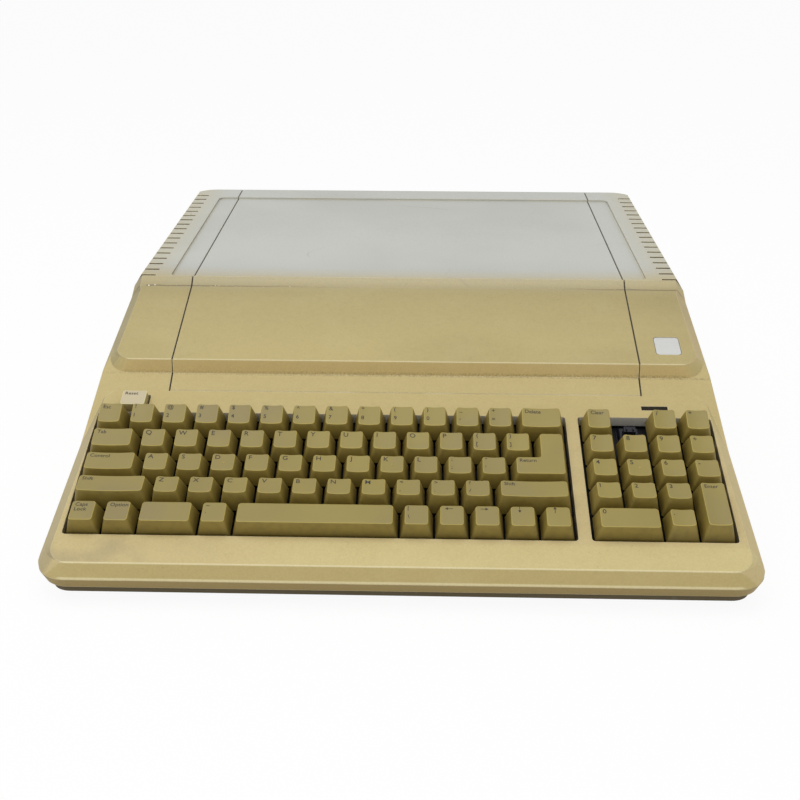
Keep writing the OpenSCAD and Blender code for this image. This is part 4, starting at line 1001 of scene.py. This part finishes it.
def add_plunger(bm, place, reach):
    """Plunger of the switch, and the post of the cap that stands in it."""
    (x, y), (post_x, post_y) = PLUNGER_HALF, POST_HALF
    add_box(bm, place, (-x, -y, PLUNGER_FOOT), (x, y, PLUNGER_TOP), 1)
    add_box(bm, place, (-post_x, -post_y, PLUNGER_TOP - 0.2), (post_x, post_y, reach))


def add_legend(bm, place, height, letters, legend, half, back, settings):
    """Lay a key's legend along the left and the back of its top."""
    left = -half + 1.5
    if not legend:
        return
    if legend[0] == "arrow":
        letters.arrow(bm, place, height, (left + 3.2, back - 2.3), legend[1])
        return
    # A word stands a little in from the left, a lone sign at the back, two signs one over the other
    if len(legend[0]) > 1:
        size, tops, inset = settings.word, (1.4, 4.9), 0.3
    elif len(legend) == 1:
        size, tops, inset = settings.letter, (1.2,), 0
    else:
        size, tops, inset = 0.85 * settings.letter, (0.9, 7.1), 0
    for line, top in zip(legend, tops):
        letters.add(bm, place, height, line, (left + inset, back - top - size), size)


def add_dome(bm, place, height, at):
    """Small raised dot that a finger finds without looking."""
    radius, rise, levels, around = 0.75, 0.32, 4, 12
    rings = []
    for k in range(levels):
        a = math.pi / 2 * k / levels
        ring = []
        for i in range(around):
            turn = math.tau * i / around
            p = Vector(at) + Vector((math.cos(turn), math.sin(turn))) * radius * math.cos(a)
            ring.append((p.x, p.y, height(p) + rise * math.sin(a)))
        rings.append(ring)
    top = height(Vector(at))
    add_rings(bm, place, rings, (*at, top - 0.1), (*at, top + rise))


def add_key(bm, letters, settings, x, v, w, d, row, legend, tilt=None, top=None, upright=False, cut=0):
    """Add one key: cap, plunger and legend, about its middle on the deck."""
    tilt = ROW_TILT[row] if tilt is None else tilt
    top = ROW_TOP[row] if top is None else top
    side, front, back = UPRIGHT_TAPER if upright else (TAPER, FRONT_TAPER[row] + cut, BACK_TAPER[row])
    place = deck_to_world((x, v, 0))
    half = w / 2 - side
    height = cap_height(top, tilt, half, row > 0 or cut > 0)
    corners = square_corners(w, d)
    along = max(6, round(w / 2.6))
    spans = [along, 3, along, 3]
    low = rounded_loop(corners, SKIRT_CORNER, CORNER_STEPS, spans)
    corner = SKIRT_CORNER if upright else settings.corner
    high = rounded_loop(top_corners(corners, side, front, back), corner, CORNER_STEPS, spans)
    centre = Vector((0, (front - back) / 2))
    skin_rings(bm, place, low, high, height, centre, settings)
    add_plunger(bm, place, height(Vector((0, 0))) - CAP_WALL + 0.1)
    add_legend(bm, place, height, letters, legend, half, d / 2 - back, settings)
    if legend and legend[0] in HOMING:
        add_dome(bm, place, height, (0.3, -0.6))


def return_key(bm, letters, settings, x, v):
    """Add the return key: a wide lower part and a narrow upper one."""
    p = settings.pitch
    w = 1.75 * p - KEY_GAP
    s = p - KEY_GAP
    place = deck_to_world((x, v, 0))
    right, left, step = w / 2, -w / 2, w / 2 - s
    low_corners = [
        (left, -s / 2), (right, -s / 2), (right, s / 2 + p), (step, s / 2 + p), (step, s / 2), (left, s / 2)
    ]
    front, back = FRONT_TAPER[2], BACK_TAPER[2]
    high_corners = [
        (left + TAPER, -s / 2 + front), (right - TAPER, -s / 2 + front),
        (right - TAPER, s / 2 + p - back), (step + TAPER, s / 2 + p - back),
        (step + TAPER, s / 2 - back), (left + TAPER, s / 2 - back),
    ]
    spans = [10, 8, 4, 5, 3, 3]
    low = rounded_loop([Vector(c) for c in low_corners], SKIRT_CORNER, CORNER_STEPS, spans)
    high = rounded_loop([Vector(c) for c in high_corners], settings.corner, CORNER_STEPS, spans)
    height = cap_height(ROW_TOP[2], 0, w, False)
    centre = Vector(((step + right) / 2, -0.5))
    skin_rings(bm, place, low, high, height, centre, settings)
    add_plunger(bm, place, height(Vector((0, 0))) - CAP_WALL + 0.1)
    add_legend(bm, place, height, letters, ["Return"], w / 2 - TAPER, s / 2 - back, settings)


def add_bar_eyes(bm, place):
    """Eyes inside the space bar that ride on its wire: a plate with two prongs on each side."""
    front, back, low = -1.4, 4, -3.8
    for middle in (-32, 32):
        x0, x1 = middle - 1, middle + 1
        add_box(bm, place, (x0, front, -2.7), (x1, back, 7.4))
        add_box(bm, place, (x0, front, low), (x1, front + 1.3, -2.5))
        add_box(bm, place, (x0, back - 1.2, low), (x1, back, -2.5))


def make_keycaps(settings):
    """Every keycap with its legend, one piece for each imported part."""
    letters = Letters()
    p = settings.pitch
    single, double = p - KEY_GAP, 2 * p - KEY_GAP
    finishes = ["key_plastic", "plunger_plastic", "legend_ink"]
    for name, (row, start, keys) in KEYS.items():
        bm = bmesh.new()
        x = KEYS_X + start * p
        v = KEYS_V + (row + 0.5) * p
        for width, legend in keys:
            middle = x + width * p / 2
            if name == "return_key":
                return_key(bm, letters, settings, middle, v)
            else:
                add_key(bm, letters, settings, middle, v, width * p - KEY_GAP, single, row, legend)
            if name == "space_bar":
                add_bar_eyes(bm, deck_to_world((middle, v, 0)))
            x += width * p
        new_piece(name + "_cap", bm, finishes, name, [name])
    pad_x = KEYS_X + PAD_UNITS * p
    for name, keys in PAD_KEYS.items():
        bm = bmesh.new()
        for column, row, legend in keys:
            add_key(
                bm, letters, settings, pad_x + (column + 0.5) * p, KEYS_V + (row + 0.5) * p,
                single, single, row, [legend], cut=0 if row else POINT_CUT,
            )
        new_piece(name + "_cap", bm, finishes, name, [name])
    bm = bmesh.new()
    add_key(bm, letters, settings, pad_x + p, KEYS_V + p / 2, double, single, 0, ["0"])
    new_piece("zero_key_cap", bm, finishes, "zero_key", ["zero_key"])
    bm = bmesh.new()
    add_key(
        bm, letters, settings, pad_x + 3.5 * p, KEYS_V + p, single, double, 0, ["Enter"],
        tilt=0, top=(ROW_TOP[0] + ROW_TOP[1]) / 2, cut=POINT_CUT,
    )
    new_piece("enter_key_cap", bm, finishes, "enter_key", ["enter_key"])
    bm = bmesh.new()
    add_key(bm, letters, settings, *RESET_AT, *RESET_SIZE, 0, ["Reset"], tilt=0, top=5, upright=True)
    finishes = ["reset_plastic", "plunger_plastic", "legend_ink"]
    new_piece("reset_key_cap", bm, finishes, "reset_key", ["reset_key"])


# ---- what repeats ----


def scatter_tree():
    """Stand a small part on every point, turned by chance about its own upright axis."""
    tree = bpy.data.node_groups.new("stand_on_points", "GeometryNodeTree")
    face = tree.interface
    face.new_socket("Points", in_out="INPUT", socket_type="NodeSocketGeometry")
    face.new_socket("Part", in_out="INPUT", socket_type="NodeSocketObject")
    face.new_socket("Lean", in_out="INPUT", socket_type="NodeSocketVector")
    face.new_socket("Spin", in_out="INPUT", socket_type="NodeSocketFloat")
    face.new_socket("Seed", in_out="INPUT", socket_type="NodeSocketInt")
    face.new_socket("Finish", in_out="INPUT", socket_type="NodeSocketMaterial")
    face.new_socket("Geometry", in_out="OUTPUT", socket_type="NodeSocketGeometry")
    nodes, link = tree.nodes, tree.links.new
    given = nodes.new("NodeGroupInput").outputs
    part = nodes.new("GeometryNodeObjectInfo")
    part.transform_space = "ORIGINAL"
    part.inputs["As Instance"].default_value = True
    link(given["Part"], part.inputs["Object"])
    stand = nodes.new("GeometryNodeInstanceOnPoints")
    link(given["Points"], stand.inputs["Points"])
    link(part.outputs["Geometry"], stand.inputs["Instance"])
    link(given["Lean"], stand.inputs["Rotation"])
    chance = nodes.new("FunctionNodeRandomValue")
    chance.data_type = "FLOAT"
    link(given["Spin"], [s for s in chance.inputs if s.name == "Max" and s.enabled][0])
    link(given["Seed"], chance.inputs["Seed"])
    upright = nodes.new("ShaderNodeCombineXYZ")
    link([s for s in chance.outputs if s.enabled][0], upright.inputs["Z"])
    spin = nodes.new("GeometryNodeRotateInstances")
    link(stand.outputs["Instances"], spin.inputs["Instances"])
    link(upright.outputs["Vector"], spin.inputs["Rotation"])
    real = nodes.new("GeometryNodeRealizeInstances")
    link(spin.outputs["Instances"], real.inputs["Geometry"])
    coat = nodes.new("GeometryNodeSetMaterial")
    link(real.outputs["Geometry"], coat.inputs["Geometry"])
    link(given["Finish"], coat.inputs["Material"])
    out = nodes.new("NodeGroupOutput")
    link(coat.outputs["Geometry"], out.inputs["Geometry"])
    return tree


def stand_on_points(points, part_bm, finish, lean=(0, 0, 0), spin=0.0, seed=1):
    """Mesh of a small part that stands on every point, in the computer's own frame."""
    tree = bpy.data.node_groups.get("stand_on_points") or scatter_tree()
    shape = bpy.data.meshes.new("small_part")
    part_bm.to_mesh(shape)
    part_bm.free()
    part = bpy.data.objects.new("small_part", shape)
    host_mesh = bpy.data.meshes.new("places")
    host_mesh.from_pydata([tuple(p) for p in points], [], [])
    host = bpy.data.objects.new("places", host_mesh)
    for made in (part, host):
        bpy.context.scene.collection.objects.link(made)
    grow = host.modifiers.new("Stand", "NODES")
    grow.node_group = tree
    inputs = {item.name: item.identifier for item in tree.interface.items_tree if item.in_out == "INPUT"}
    values = {"Part": part, "Lean": lean, "Spin": spin, "Seed": seed, "Finish": finish_named(finish)}
    for name, value in values.items():
        grow[inputs[name]] = value
    bpy.context.view_layer.update()
    graph = bpy.context.evaluated_depsgraph_get()
    mesh = bpy.data.meshes.new_from_object(host.evaluated_get(graph))
    host.modifiers.remove(grow)
    for made in (part, host):
        bpy.data.objects.remove(made)
    return mesh


# Radius and depth of a screw's head, from its neck up, as shares of its diameter
HEAD_PROFILE = ((0.25, -0.27), (0.5, -0.27), (0.5, -0.12), (0.44, -0.03), (0.33, 0))
SHANK_SHARE = 0.24
AROUND = 24


def pan_head(d, length):
    """Cross-recessed screw with its head's top at z = 0 and its shank below, in metres."""
    bm = bmesh.new()
    size = d * MM

    def ring(radii, z):
        turns = [math.tau * i / AROUND for i in range(AROUND)]
        return [(r * math.cos(a), r * math.sin(a), z) for r, a in zip(radii, turns)]

    rings = [ring([size * SHANK_SHARE] * AROUND, -length)]
    rings += [ring([size * radius] * AROUND, size * z) for radius, z in HEAD_PROFILE]
    # The cross: points nearer the arms' ends stay out, those between them come in
    cross = [size * (0.27 if i % 6 in (5, 0, 1) else 0.085) for i in range(AROUND)]
    rings.append(ring(cross, 0))
    rings.append(ring([radius * 0.7 for radius in cross], -size * 0.16))
    add_rings(bm, Matrix.Identity(4), rings, (0, 0, -length), (0, 0, -size * 0.18))
    return bm


def make_screws(settings):
    """Screws of the base and of the keyboard's plate."""
    # Along the sides, the front, the supply and the back of the base
    base_z = 0.0048 - 0.00175
    side_x, front_y, back_y = 0.1815, -0.2155, 0.2133
    supply_x, supply_y = -0.176, 0.2183 - 0.265
    places = [(x, y, base_z) for x in (-side_x, side_x) for y in (-0.170, -0.060, 0.060, 0.170)]
    places += [(x, front_y, base_z) for x in (-0.1, 0, 0.1)]
    places += [(supply_x + x, supply_y + y, base_z) for x in (0.015, 0.077) for y in (0.020, 0.195)]
    places += [(x, back_y, base_z) for x in (-0.06, 0.04, 0.14)]
    head = pan_head(settings.screw, 0.008)
    mesh = stand_on_points(places, head, "screw_steel", (math.pi, 0, 0), math.tau, settings.seed)
    new_piece("case_screw_heads", mesh, ["screw_steel"], "case", ["case_screws"])
    # Along the front and the back of the keyboard's plate, under its board
    deck = deck_to_world()
    plate_z = -9 - 1.2 - 1.5
    places = [deck @ Vector((x, 14, plate_z)) for x in (-150, -50, 60, 165)]
    places += [deck @ Vector((x, 124, plate_z)) for x in (-125, -20, 80, 125)]
    head = pan_head(6, 0.0075)
    lean = (math.pi + DECK_TILT, 0, 0)
    mesh = stand_on_points(places, head, "screw_steel", lean, math.tau, settings.seed)
    new_piece("keyboard_screw_heads", mesh, ["screw_steel"], "case", ["keyboard_screws"])


def switch_places(p):
    """Middles of all the switches on the deck, and last of all the bare one."""
    places = []
    for row, start, keys in KEYS.values():
        x = start * p
        for width, _ in keys:
            places.append((KEYS_X + x + width * p / 2, KEYS_V + (row + 0.5) * p))
            x += width * p
    pad_x = KEYS_X + PAD_UNITS * p
    for keys in PAD_KEYS.values():
        places += [(pad_x + (column + 0.5) * p, KEYS_V + (row + 0.5) * p) for column, row, _ in keys]
    zero, enter = (pad_x + p, KEYS_V + p / 2), (pad_x + 3.5 * p, KEYS_V + p)
    bare = (pad_x + 1.5 * p, KEYS_V + 4.5 * p)
    return places + [zero, enter, RESET_AT, bare]


def switch_housing():
    """Housing of one switch about the deck's surface, with its well for the plunger, in metres."""
    bm = bmesh.new()
    # Width, depth and height, from the foot up over the collar and the crown and down the well
    levels = (
        (13.2, 12.2, -16.2), (13.2, 12.2, -9), (13.6, 12.6, -9), (13.6, 12.6, -8), (12.4, 11.6, -8),
        (11.6, 10.8, -4.6), (10.4, 9.6, -4), (7.6, 5, -4), (7.6, 5, -15.2),
    )
    rings = [[(p.x, p.y, z) for p in square_corners(w, d)] for w, d, z in levels]
    add_rings(bm, Matrix.Scale(MM, 4), rings, (0, 0, levels[0][2]), (0, 0, levels[-1][2]))
    bmesh.ops.recalc_face_normals(bm, faces=bm.faces)
    return bm


def make_switches(settings):
    """Housings of all the switches, with the bare one's plunger standing in it."""
    deck = deck_to_world()
    middles = switch_places(settings.pitch)
    places = [deck @ Vector((x, v, 0)) for x, v in middles]
    mesh = stand_on_points(places, switch_housing(), "housing_plastic", (DECK_TILT, 0, 0))
    bm = bmesh.new()
    bm.from_mesh(mesh)
    place = deck_to_world((*middles[-1], 0))
    add_box(bm, place, (-3.4, -2.1, -15.4), (3.4, 2.1, 0.2))
    for left, right in ((-2.3, -1.5), (1.5, 2.3)):
        add_box(bm, place, (left, -1.2, 0.1), (right, 1.2, 1.2))
    new_piece("switch_housings", bm, ["housing_plastic"], "case", ["key_switches"])


# The logic board's left front corner, on its top
LOGIC_X = -0.076
LOGIC_Y = 0.2183 - 0.001 - 0.33
LOGIC_TOP = 0.006 + 0.008 + 0.0016
LEG_PITCH = 2.54

# Packages on the logic board, in millimetres: middle, length, width and legs on each side
PACKAGES = (
    [(75 + i * 62, 130, 52, 14, 20) for i in range(3)]
    + [(70 + i * 48, 100, 36, 14, 14) for i in range(3)]
    + [(50 + i * 24, 22, 20, 6.5, 8) for i in range(8)]
    + [(60 + i * 26, 48 + j * 22, 20, 6.5, 8) for i in range(7) for j in range(2)]
)


def package_leg():
    """Leg of a package, bent out and down, standing on the board, in metres."""
    bm = bmesh.new()
    at = Matrix.Scale(MM, 4)
    add_box(bm, at, (-0.6, -0.25, 2.2), (0.6, 0.45, 2.5))
    add_box(bm, at, (-0.6, -0.25, 1.1), (0.6, 0, 2.3))
    add_box(bm, at, (-0.25, -0.25, 0), (0.25, 0, 1.2))
    return bm


def make_packages():
    """Packages of the logic board: notched bodies and rows of legs."""
    bm = bmesh.new()
    scale = Matrix.Translation((LOGIC_X, LOGIC_Y, LOGIC_TOP)) @ Matrix.Scale(MM, 4)
    front, back = [], []
    # Height of a body's edges over the board, and how far each stands out
    levels = ((1, -0.25), (2.6, 0), (3, 0), (4.5, -0.35))
    for x, y, length, width, legs in PACKAGES:
        place = scale @ Matrix.Translation((x, y, 0))
        w, d = length / 2, width / 2
        notched = ((-w, -d), (w, -d), (w, d), (-w, d), (-w, 1), (-w + 1, 1), (-w + 1, -1), (-w, -1))
        rings = [
            [(px + math.copysign(grow, px), py + math.copysign(grow, py), z) for px, py in notched]
            for z, grow in levels
        ]
        add_rings(bm, place, rings, (0, 0, levels[0][0]), (0, 0, levels[-1][0]))
        for k in range(legs):
            leg_x = x + (k - (legs - 1) / 2) * LEG_PITCH
            front.append(scale @ Vector((leg_x, y - d - 0.1, 0)))
            back.append(scale @ Vector((leg_x, y + d + 0.1, 0)))
    bmesh.ops.recalc_face_normals(bm, faces=bm.faces)
    new_piece("package_bodies", bm, ["chip_epoxy"], "case", ["logic_chips"])
    legs = bmesh.new()
    legs.from_mesh(stand_on_points(front, package_leg(), "tinned_legs"))
    legs.from_mesh(stand_on_points(back, package_leg(), "tinned_legs", (0, 0, math.pi)))
    new_piece("package_legs", legs, ["tinned_legs"], "case")


# ---- stage ----


def make_floor():
    """White floor that keeps the computer's shadow and shines white where it is seen."""
    far = 8
    mesh = bpy.data.meshes.new("floor")
    mesh.from_pydata([(-far, -far, 0), (far, -far, 0), (far, far, 0), (-far, far, 0)], [], [(0, 1, 2, 3)])
    floor = bpy.data.objects.new("floor", mesh)
    bpy.context.scene.collection.objects.link(floor)
    f = Finish("floor_white", (0.92, 0.92, 0.92), 0.9)
    rays = f.node("ShaderNodeLightPath").socket.node.outputs
    seen = Value(f, rays["Is Camera Ray"])
    for ray in ("Is Glossy Ray", "Is Transmission Ray"):
        seen = seen.math("MAXIMUM", seen, Value(f, rays[ray]))
    glow = f.node("ShaderNodeEmission", sockets={"Color": (1, 1, 1, 1), "Strength": 1.0})
    cover = f.node("ShaderNodeMixShader", sockets={
        0: seen * 0.93, 1: Value(f, f.shader.outputs[0]), 2: glow,
    })
    f.links.new(cover.socket, f.nodes["Material Output"].inputs["Surface"])
    mesh.materials.append(f.material)


def make_surroundings(settings):
    """Light from all round, and white where the surroundings are seen."""
    world = bpy.data.worlds.new("studio")
    bpy.context.scene.world = world
    world.use_nodes = True
    nodes, link = world.node_tree.nodes, world.node_tree.links.new
    white = nodes.new("ShaderNodeBackground")
    for shader, strength in ((nodes["Background"], settings.fill), (white, 1)):
        shader.inputs["Color"].default_value = (1, 1, 1, 1)
        shader.inputs["Strength"].default_value = strength
    rays = nodes.new("ShaderNodeLightPath").outputs
    seen = rays["Is Camera Ray"]
    for ray in ("Is Glossy Ray", "Is Transmission Ray"):
        either = nodes.new("ShaderNodeMath")
        either.operation = "MAXIMUM"
        link(seen, either.inputs[0])
        link(rays[ray], either.inputs[1])
        seen = either.outputs[0]
    choose = nodes.new("ShaderNodeMixShader")
    link(seen, choose.inputs[0])
    link(nodes["Background"].outputs[0], choose.inputs[1])
    link(white.outputs[0], choose.inputs[2])
    link(choose.outputs[0], nodes["World Output"].inputs["Surface"])


def make_softbox(settings):
    """Broad lamp over the computer, a little in front of it and to its left."""
    lamp = bpy.data.lights.new("softbox", "AREA")
    lamp.shape = "RECTANGLE"
    lamp.size = 1.5
    lamp.size_y = 1.1
    lamp.energy = settings.softbox
    softbox = bpy.data.objects.new("softbox", lamp)
    softbox.location = (-0.2, -0.3, 1.3)
    softbox.rotation_euler = (math.radians(14), math.radians(-8), 0)
    bpy.context.scene.collection.objects.link(softbox)


def make_camera(settings):
    """Camera in front of the computer, above it and almost level across."""
    data = bpy.data.cameras.new("camera")
    data.sensor_width = 36
    data.lens = settings.lens
    data.shift_x = -0.00057
    data.shift_y = -0.0002
    camera = bpy.data.objects.new("camera", data)
    eye = (0.013836, -0.767551, 0.358482)
    yaw, pitch, roll = -0.0241, 0.4133, 0.002
    ahead = Vector((math.sin(yaw) * math.cos(pitch), math.cos(yaw) * math.cos(pitch), -math.sin(pitch)))
    right = Vector((math.cos(yaw), -math.sin(yaw), 0))
    up = right.cross(ahead)
    right, up = (
        math.cos(roll) * right + math.sin(roll) * up,
        math.cos(roll) * up - math.sin(roll) * right,
    )
    turn = Matrix((right, up, -ahead)).transposed().to_4x4()
    camera.matrix_world = Matrix.Translation(eye) @ turn
    bpy.context.scene.collection.objects.link(camera)
    bpy.context.scene.camera = camera


def make_stage(settings):
    """Floor, surrounding light, lamp and camera."""
    make_floor()
    make_surroundings(settings)
    make_softbox(settings)
    make_camera(settings)
    bpy.context.scene.view_settings.view_transform = "Standard"


# ---- operators, one for each piece or group of like pieces ----


class HOMECOMPUTER_OT_finishes(bpy.types.Operator):
    """Make every material of the computer"""
    bl_idname = "home_computer.finishes"
    bl_label = "Finishes"

    def execute(self, context):
        make_finishes(context.scene.home_computer)
        return {"FINISHED"}


class HOMECOMPUTER_OT_shell(bpy.types.Operator):
    """Finish the case, the badge and the lamp's window, and make the lip under the lid's front edge"""
    bl_idname = "home_computer.shell"
    bl_label = "Case and lid"

    def execute(self, context):
        paint("case_plastic", "upper_case", "lid")
        make_lid_lip()
        paint("badge_silver", "badge_plate")
        paint("lamp_lens", "lamp_window")
        paint("plug_plastic", "port_plugs")
        paint("rubber", "feet")
        return {"FINISHED"}


class HOMECOMPUTER_OT_keycaps(bpy.types.Operator):
    """Make the keycaps with their dished tops and legends"""
    bl_idname = "home_computer.keycaps"
    bl_label = "Keycaps"

    def execute(self, context):
        make_keycaps(context.scene.home_computer.keys)
        return {"FINISHED"}


class HOMECOMPUTER_OT_switches(bpy.types.Operator):
    """Make the switches under the keys"""
    bl_idname = "home_computer.switches"
    bl_label = "Switches"

    def execute(self, context):
        make_switches(context.scene.home_computer.keys)
        return {"FINISHED"}


class HOMECOMPUTER_OT_screws(bpy.types.Operator):
    """Make the screws of the base and the keyboard"""
    bl_idname = "home_computer.screws"
    bl_label = "Screws"

    def execute(self, context):
        make_screws(context.scene.home_computer.inside)
        return {"FINISHED"}


class HOMECOMPUTER_OT_metalwork(bpy.types.Operator):
    """Finish the sheet metal, the switch and the sockets at the back"""
    bl_idname = "home_computer.metalwork"
    bl_label = "Metalwork and back"

    def execute(self, context):
        paint("base_shadow_paint", "base_plate")
        paint("zinc_sheet", "rear_panel", "power_supply")
        paint("key_plate_paint", "keyboard_plate")
        paint("screw_steel", "space_bar_wire", "joystick_socket")
        paint("black_plastic", "power_inlet", "switch_frame", "power_switch", "cassette_jacks")
        paint("brass", "video_jack")
        paint("nylon", "lid_catches")
        return {"FINISHED"}


class HOMECOMPUTER_OT_boards(bpy.types.Operator):
    """Make the packages and finish the boards and cables inside"""
    bl_idname = "home_computer.boards"
    bl_label = "Boards and cables"

    def execute(self, context):
        make_packages()
        paint("logic_laminate", "logic_board")
        paint("keyboard_laminate", "keyboard_board")
        paint("nylon", "board_standoffs")
        paint("socket_plastic", "expansion_slots", "auxiliary_slot")
        paint("supply_parts", "supply_board")
        paint("ribbon_cable", "keyboard_cable")
        paint("cable_sheath", "power_cable")
        paint("red_sheath", "speaker_cable")
        paint("speaker_paper", "speaker")
        return {"FINISHED"}


class HOMECOMPUTER_OT_stage(bpy.types.Operator):
    """Set up the floor, the light and the camera"""
    bl_idname = "home_computer.stage"
    bl_label = "Stage"

    def execute(self, context):
        make_stage(context.scene.home_computer.stage)
        return {"FINISHED"}


OPERATORS = (
    HOMECOMPUTER_OT_finishes,
    HOMECOMPUTER_OT_stage,
    HOMECOMPUTER_OT_shell,
    HOMECOMPUTER_OT_keycaps,
    HOMECOMPUTER_OT_switches,
    HOMECOMPUTER_OT_screws,
    HOMECOMPUTER_OT_metalwork,
    HOMECOMPUTER_OT_boards,
)


class HOMECOMPUTER_PT_panel(bpy.types.Panel):
    """Sizes, colours and pieces of the computer"""
    bl_label = "Home Computer"
    bl_idname = "HOMECOMPUTER_PT_panel"
    bl_space_type = "VIEW_3D"
    bl_region_type = "UI"
    bl_category = "Home Computer"

    def draw(self, context):
        settings = context.scene.home_computer
        for title in ("case", "keys", "inside", "stage"):
            box = self.layout.box()
            box.label(text=title.capitalize())
            group = getattr(settings, title)
            for name in group.bl_rna.properties.keys():
                if name not in ("rna_type", "name"):
                    box.prop(group, name)
        for operator in OPERATORS:
            self.layout.operator(operator.bl_idname)


CLASSES = (
    CaseSettings, KeySettings, InsideSettings, StageSettings, ComputerSettings,
    *OPERATORS, HOMECOMPUTER_PT_panel,
)


def register():
    for made in CLASSES:
        bpy.utils.register_class(made)
    bpy.types.Scene.home_computer = PointerProperty(type=ComputerSettings)


def unregister():
    del bpy.types.Scene.home_computer
    for made in reversed(CLASSES):
        bpy.utils.unregister_class(made)


def main():
    """Register the add-on and make every piece."""
    register()
    for operator in OPERATORS:
        group, name = operator.bl_idname.split(".")
        getattr(getattr(bpy.ops, group), name)()


if __name__ == "__main__":
    main()
